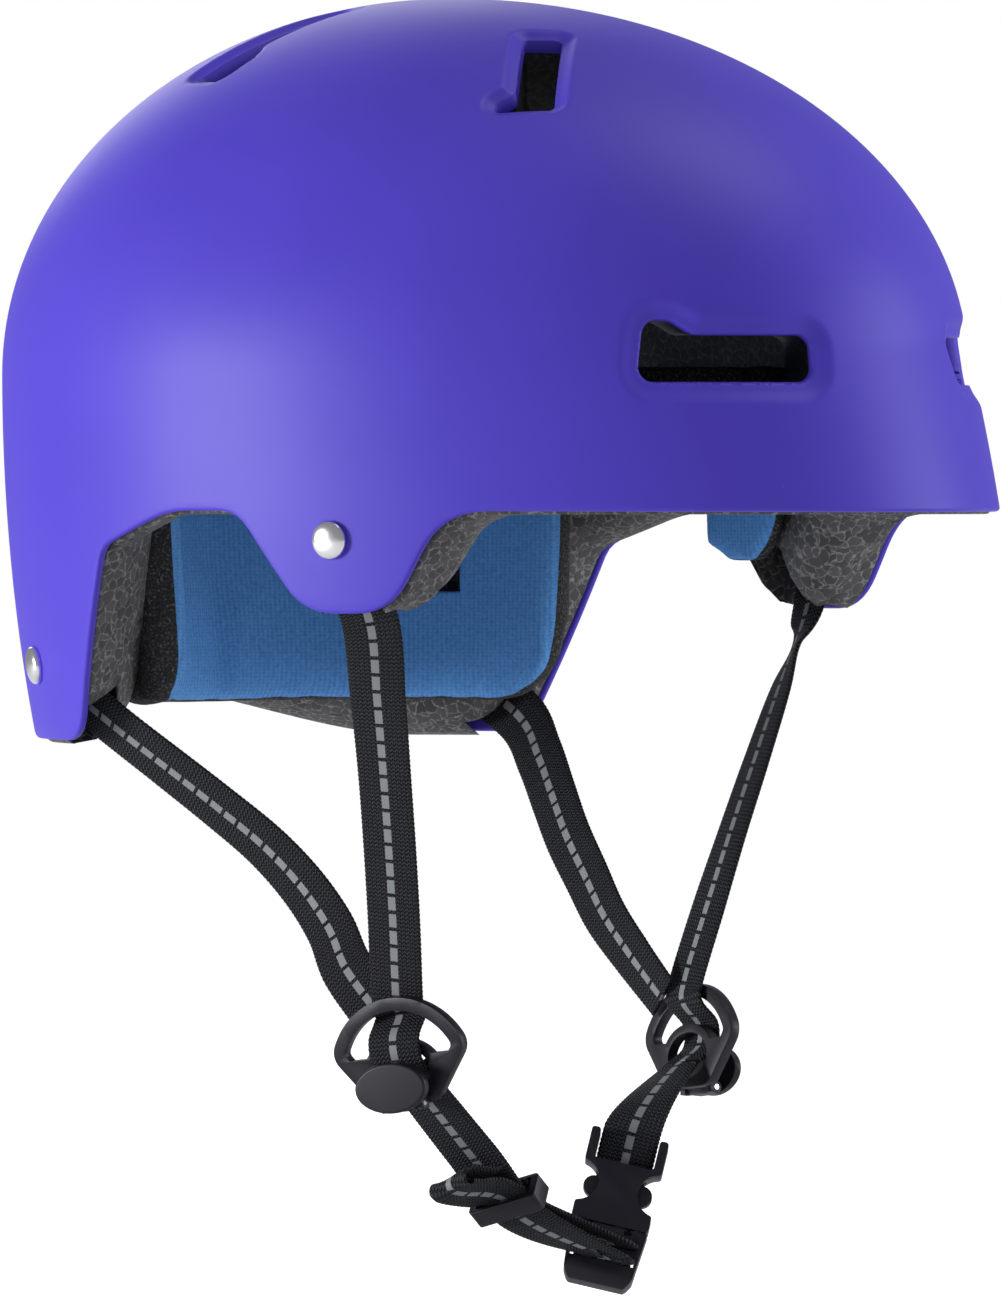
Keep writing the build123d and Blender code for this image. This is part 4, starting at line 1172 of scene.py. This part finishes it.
NEAR_REAR_ROUTE = (
    (-77.5, 64.0, -79.0, -0.328, -0.650, 0.685), (-76.8, 46.0, -90.5, -0.265, -0.725, 0.635),
    (-69.8, 34.5, -100.8, -0.196, -0.795, 0.574), (-63.3, 22.4, -111.2, -0.122, -0.855, 0.504),
    (-57.9, 10.5, -121.5, -0.046, -0.903, 0.426), (-55.0, 0.2, -131.8, 0.029, -0.938, 0.345),
    (-54.3, -8.6, -142.2, 0.099, -0.959, 0.264),
)
FAR_REAR_ROUTE = (
    (78.2, 63.2, -79.0, 0.328, -0.650, 0.685), (78.8, 43.7, -90.5, 0.265, -0.725, 0.635),
    (73.8, 32.4, -100.8, 0.196, -0.795, 0.574), (68.3, 22.6, -111.2, 0.122, -0.855, 0.504),
    (63.4, 13.3, -121.5, 0.046, -0.903, 0.426), (59.9, 3.7, -131.8, -0.029, -0.938, 0.345),
    (56.9, -5.7, -142.2, -0.099, -0.959, 0.264),
)
CHIN_LEFT_ROUTE = (
    (53.2, -35.4, -179.8, -0.22, -0.969, 0.112), (52.0, -35.2, -180.6, -0.22, -0.969, 0.112),
    (44.8, -36.2, -184.6, -0.06, -0.997, 0.048), (39.0, -37.0, -188.3, 0.122, -0.992, -0.025),
    (34.5, -37.6, -191.8, 0.305, -0.947, -0.101), (31.4, -37.9, -195.1, 0.47, -0.866, -0.169),
    (29.6, -38.0, -198.2, 0.602, -0.766, -0.225), (26.5, -38.0, -206.5, 0.602, -0.766, -0.225),
)
CHIN_RIGHT_ROUTE = (
    (-53.2, -35.4, -179.8, 0.22, -0.969, 0.112), (-52.0, -35.2, -180.6, 0.22, -0.969, 0.112),
    (-30.4, -36.3, -200.5, 0.205, -0.939, 0.276), (-12.7, -37.2, -216.6, 0.205, -0.939, 0.276),
    (13.2, -42.3, -227.4, 0.602, -0.766, -0.225), (15.0, -40.7, -228.1, 0.602, -0.766, -0.225),
    (21.0, -35.3, -230.3, 0.602, -0.766, -0.225), (22.7, -34.0, -230.4, 0.602, -0.766, -0.225),
    (23.9, -33.4, -229.1, 0.602, -0.766, -0.225), (23.8, -34.0, -227.4, 0.602, -0.766, -0.225),
    (22.5, -35.3, -226.4, 0.602, -0.766, -0.225), (14.7, -42.3, -223.5, 0.602, -0.766, -0.225),
    (-11.5, -36.6, -215.4, 0.205, -0.939, 0.276), (-19.2, -36.2, -208.3, 0.205, -0.939, 0.276),
)
TAIL_ROUTE = (
    (-16.5, -37.2, -212.9, 0.160, -0.936, 0.310), (-20.5, -36.9, -211.2, 0.100, -0.925, 0.366),
    (-26.0, -36.4, -210.2, 0.000, -0.850, 0.527), (-33.0, -35.6, -209.8, -0.104, -0.878, 0.467),
    (-36.6, -35.0, -209.0, -0.137, -0.888, 0.440), (-37.2, -34.8, -207.2, -0.137, -0.888, 0.440),
    (-35.2, -35.0, -206.0, -0.137, -0.888, 0.440), (-30.0, -35.9, -206.6, -0.104, -0.878, 0.467),
    (-26.0, -36.4, -207.2, -0.020, -0.850, 0.527),
)
print("places of the chin strap:", len(CHIN_RIGHT_ROUTE))

# %% [markdown]
# Between two places the line bends smoothly (a Catmull-Rom curve), and the width turns along with it, so
# one strap can start flat on the liner and end edge-on at its divider. The section is a flat oval with
# tight sides, and its width waves a little, because the yarn scallops the edges of the tape.

# %% Tape along a route
SECTION_TURNS, TAPE_STEP, ROUTE_STEPS = 16, 0.0004, 40
SCALLOP_PITCH, SCALLOP = 0.0013, 0.00009
SLOPE_ROWS, TAPE_MERGE = 2, 0.000002


def mirrored(route):
    return [(-x, y, z, -a, b, c) for x, y, z, a, b, c in route]


def curve_value(before, first, second, after, t):
    """Catmull-Rom value between the second and third of four values."""
    return 0.5 * (2 * first + (second - before) * t + (2 * before - 5 * first + 4 * second - after) * t * t
                  + (3 * first - before - 3 * second + after) * t ** 3)


def tape_line(route):
    """Evenly spaced places along a route, each with its width direction and its distance from the start."""
    spots = [(Vector(entry[:3]) / 1000, Vector(entry[3:]).normalized()) for entry in route]
    fine, last = [], len(spots) - 1
    for k in range(last):
        four = [spots[max(k - 1, 0)], spots[k], spots[k + 1], spots[min(k + 2, last)]]
        for step in range(ROUTE_STEPS):
            t = step / ROUTE_STEPS
            fine.append(tuple(curve_value(*[spot[part] for spot in four], t) for part in (0, 1)))
    fine.append(spots[last])
    run = [0.0]
    for one, two in zip(fine, fine[1:]):
        run.append(run[-1] + (two[0] - one[0]).length)
    count, line, k = ceil(run[-1] / TAPE_STEP), [], 0
    for index in range(count + 1):
        target = run[-1] * index / count
        while k < len(run) - 2 and run[k + 1] < target:
            k += 1
        share = min((target - run[k]) / max(run[k + 1] - run[k], 1e-9), 1)
        line.append((fine[k][0].lerp(fine[k + 1][0], share), fine[k][1].lerp(fine[k + 1][1], share), target))
    return line


def tape_section():
    """Places round the tape's section: across its width and through its thickness."""
    ring = []
    for k in range(SECTION_TURNS + 1):
        c, d = cos(2 * pi * k / SECTION_TURNS), sin(2 * pi * k / SECTION_TURNS)
        ring.append((abs(c) ** 0.35 * (1 if c > 0 else -1) * TAPE_WIDTH / 2,
                     abs(d) ** 0.8 * (1 if d > 0 else -1) * TAPE_THICK / 2))
    return ring


def tape(name, node, route, body="helmet"):
    line, ring = tape_line(route), tape_section()
    rows = len(line) - 1
    bm = bmesh.new()
    uv = bm.loops.layers.uv.new("tape")
    bmesh.ops.create_grid(bm, x_segments=SECTION_TURNS, y_segments=rows, size=0.5, calc_uvs=True)
    for face in bm.faces:
        for loop in face.loops:
            column, row = grid_spot(loop.vert, SECTION_TURNS, rows)
            loop[uv].uv = (ring[column][0], line[row][2])
    for vert in bm.verts:
        column, row = grid_spot(vert, SECTION_TURNS, rows)
        place, across, run = line[row]
        along = (line[min(row + SLOPE_ROWS, rows)][0] - line[max(row - SLOPE_ROWS, 0)][0]).normalized()
        across = (across - along * across.dot(along)).normalized()
        wave = 1 + SCALLOP / TAPE_WIDTH * 2 * sin(2 * pi * run / SCALLOP_PITCH)
        vert.co = place + across * ring[column][0] * wave + along.cross(across) * ring[column][1]
    bmesh.ops.remove_doubles(bm, verts=bm.verts, dist=TAPE_MERGE)
    bmesh.ops.holes_fill(bm, edges=[edge for edge in bm.edges if edge.is_boundary], sides=0)
    bmesh.ops.recalc_face_normals(bm, faces=bm.faces)
    piece = finished(name, bm, body)
    coat(piece, tape_finish)
    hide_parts(node)
    print(name, "length:", round(line[-1][2], 4), "faces:", len(piece.data.polygons))
    return piece


print("faces round the tape:", SECTION_TURNS)

# %% [markdown]
# Each strap replaces one stiff ribbon of the frame, and all but one ride with the same body. The right chin
# strap crosses the sliding joint of the buckle: its loop runs round the tongue's bar and would have to leave
# with it, while the rest would stay with the helmet, so this strap rides with no body at all.

# %% Straps
tape("ear_strap_right", "web_ear_right", NEAR_EAR_ROUTE + EAR_ENDS)
tape("ear_strap_left", "web_ear_left", FAR_EAR_ROUTE + tuple(mirrored(EAR_ENDS)))
tape("rear_strap_right", "web_rear_right", REAR_STARTS + NEAR_REAR_ROUTE + REAR_ENDS)
tape("rear_strap_left", "web_rear_left", mirrored(REAR_STARTS) + list(FAR_REAR_ROUTE) + mirrored(REAR_ENDS))
tape("chin_strap_left", "web_chin_left", CHIN_LEFT_ROUTE)
chin_strap = tape("chin_strap_right", "web_chin_right", CHIN_RIGHT_ROUTE, None)
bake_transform(chin_strap)
tape("strap_tail", "web_tail", TAIL_ROUTE, "keeper")

# %% [markdown]
# The dividers, levers, keeper and buckle are moulded in black plastic with a satin face, slightly blue in
# the light. The relief is a fine grain, as a blasted mould leaves it.

# %% Black plastic
BLACK, DEEP_BLACK = (0.012, 0.012, 0.020), (0.009, 0.009, 0.015)
plastic_finish = mottled("black_plastic", 70.0, ((0.3, DEEP_BLACK), (0.7, BLACK)),
                         (2200.0, 2.0, 0.00003, 0.6), Roughness=0.44, Specular_IOR_Level=0.32)
print("hardware finish:", plastic_finish.name)

# %% [markdown]
# Two mouldings are drawn a little heavier or shorter than their solids: the tongue's lower bar is a deep
# foot, and the keeper is a short band. Both are measured in the axes of the piece itself: its middle, then
# the ways across, along and out.

# %% Axes of buckle and keeper
BUCKLE = (Vector((0.02086, -0.0380, -0.22159)), Vector((0.602, -0.766, -0.225)), Vector((0.350, 0.0, 0.937)),
          Vector((-0.718, -0.643, 0.268)))
KEEPER = (Vector((-0.0171, -0.0370, -0.2126)), Vector((0.205, -0.939, 0.276)), Vector((-0.737, 0.037, 0.675)),
          Vector((0.644, 0.342, 0.684)))
FOOT_LEVELS = (
    (-0.0156, -0.0156), (-0.0128, -0.0094), (-0.0092, -0.0069), (-0.0068, -0.0052), (-0.0032, -0.0026),
    (0.0, 0.0),
)
FOOT_TOP, FOOT_HEIGHT, FOOT_NARROW, FOOT_DEEP = -0.0094, 0.0062, 0.22, 0.30
LEVEL_SLACK, KEEPER_SHORT = 0.0002, 0.62


def placed(point, frame_of):
    """A point in the axes of a moulding: across, along and out."""
    return [(point - frame_of[0]).dot(axis) for axis in frame_of[1:]]


def back_from(parts, frame_of):
    return frame_of[0] + sum((axis * part for axis, part in zip(frame_of[1:], parts)), Vector())


def deep_foot(point):
    """The tongue's lower bar drawn up and narrowed to a heavy foot, with the windows above it made lower."""
    across, along, out = placed(point, BUCKLE)
    for (low, low_new), (high, high_new) in zip(FOOT_LEVELS, FOOT_LEVELS[1:]):
        if low - LEVEL_SLACK <= along <= high + LEVEL_SLACK:
            level = low_new + (high_new - low_new) * (along - low) / (high - low)
            share = max(FOOT_TOP - level, 0) / FOOT_HEIGHT
            deep = 1 + FOOT_DEEP * min(share * 4, 1 - share / 2)
            return back_from((across * (1 - FOOT_NARROW * share), level, out * deep), BUCKLE)
    return point


def short_keeper(point):
    across, along, out = placed(point, KEEPER)
    return back_from((across, along * KEEPER_SHORT, out), KEEPER)


print("keeper's length share:", KEEPER_SHORT)

# %% [markdown]
# The other solids already have the right form, but no moulded edge is knife sharp. A copy of each is
# merged, its flat faces are joined again, and its edges get a fine bevel that catches the light.

# %% Mouldings
EDGE_ROUND, SHARP_ANGLE, FLAT_ANGLE, SOLID_MERGE = 0.00045, 32, 1.0, 0.000005


def moulding(node, form=None):
    bm = bmesh.new()
    bm.from_mesh(nodes[node].data)
    bmesh.ops.remove_doubles(bm, verts=bm.verts, dist=SOLID_MERGE)
    bmesh.ops.dissolve_limit(bm, angle_limit=radians(FLAT_ANGLE), verts=bm.verts, edges=bm.edges)
    if form:
        for vert in bm.verts:
            vert.co = form(vert.co)
    piece = finished(node + "_moulding", bm, nodes[node]["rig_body"])
    bevel = piece.modifiers.new("round", "BEVEL")
    bevel.width, bevel.segments = EDGE_ROUND, 2
    bevel.limit_method, bevel.angle_limit = "ANGLE", radians(SHARP_ANGLE)
    bevel.harden_normals = True
    settle(piece)
    coat(piece, plastic_finish)
    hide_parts(node)
    print(node, "faces:", len(piece.data.polygons))


for node in ("divider_right", "divider_left", "divider_lever_right", "divider_lever_left", "buckle_socket",
             "buckle_prong_front", "buckle_prong_rear"):
    moulding(node)
moulding("buckle_tongue", deep_foot)
moulding("web_keeper", short_keeper)

# %% [markdown]
# The last cell prints the top of the frame.

# %% Sizes
print("top of the frame:", frame_box[1][2])
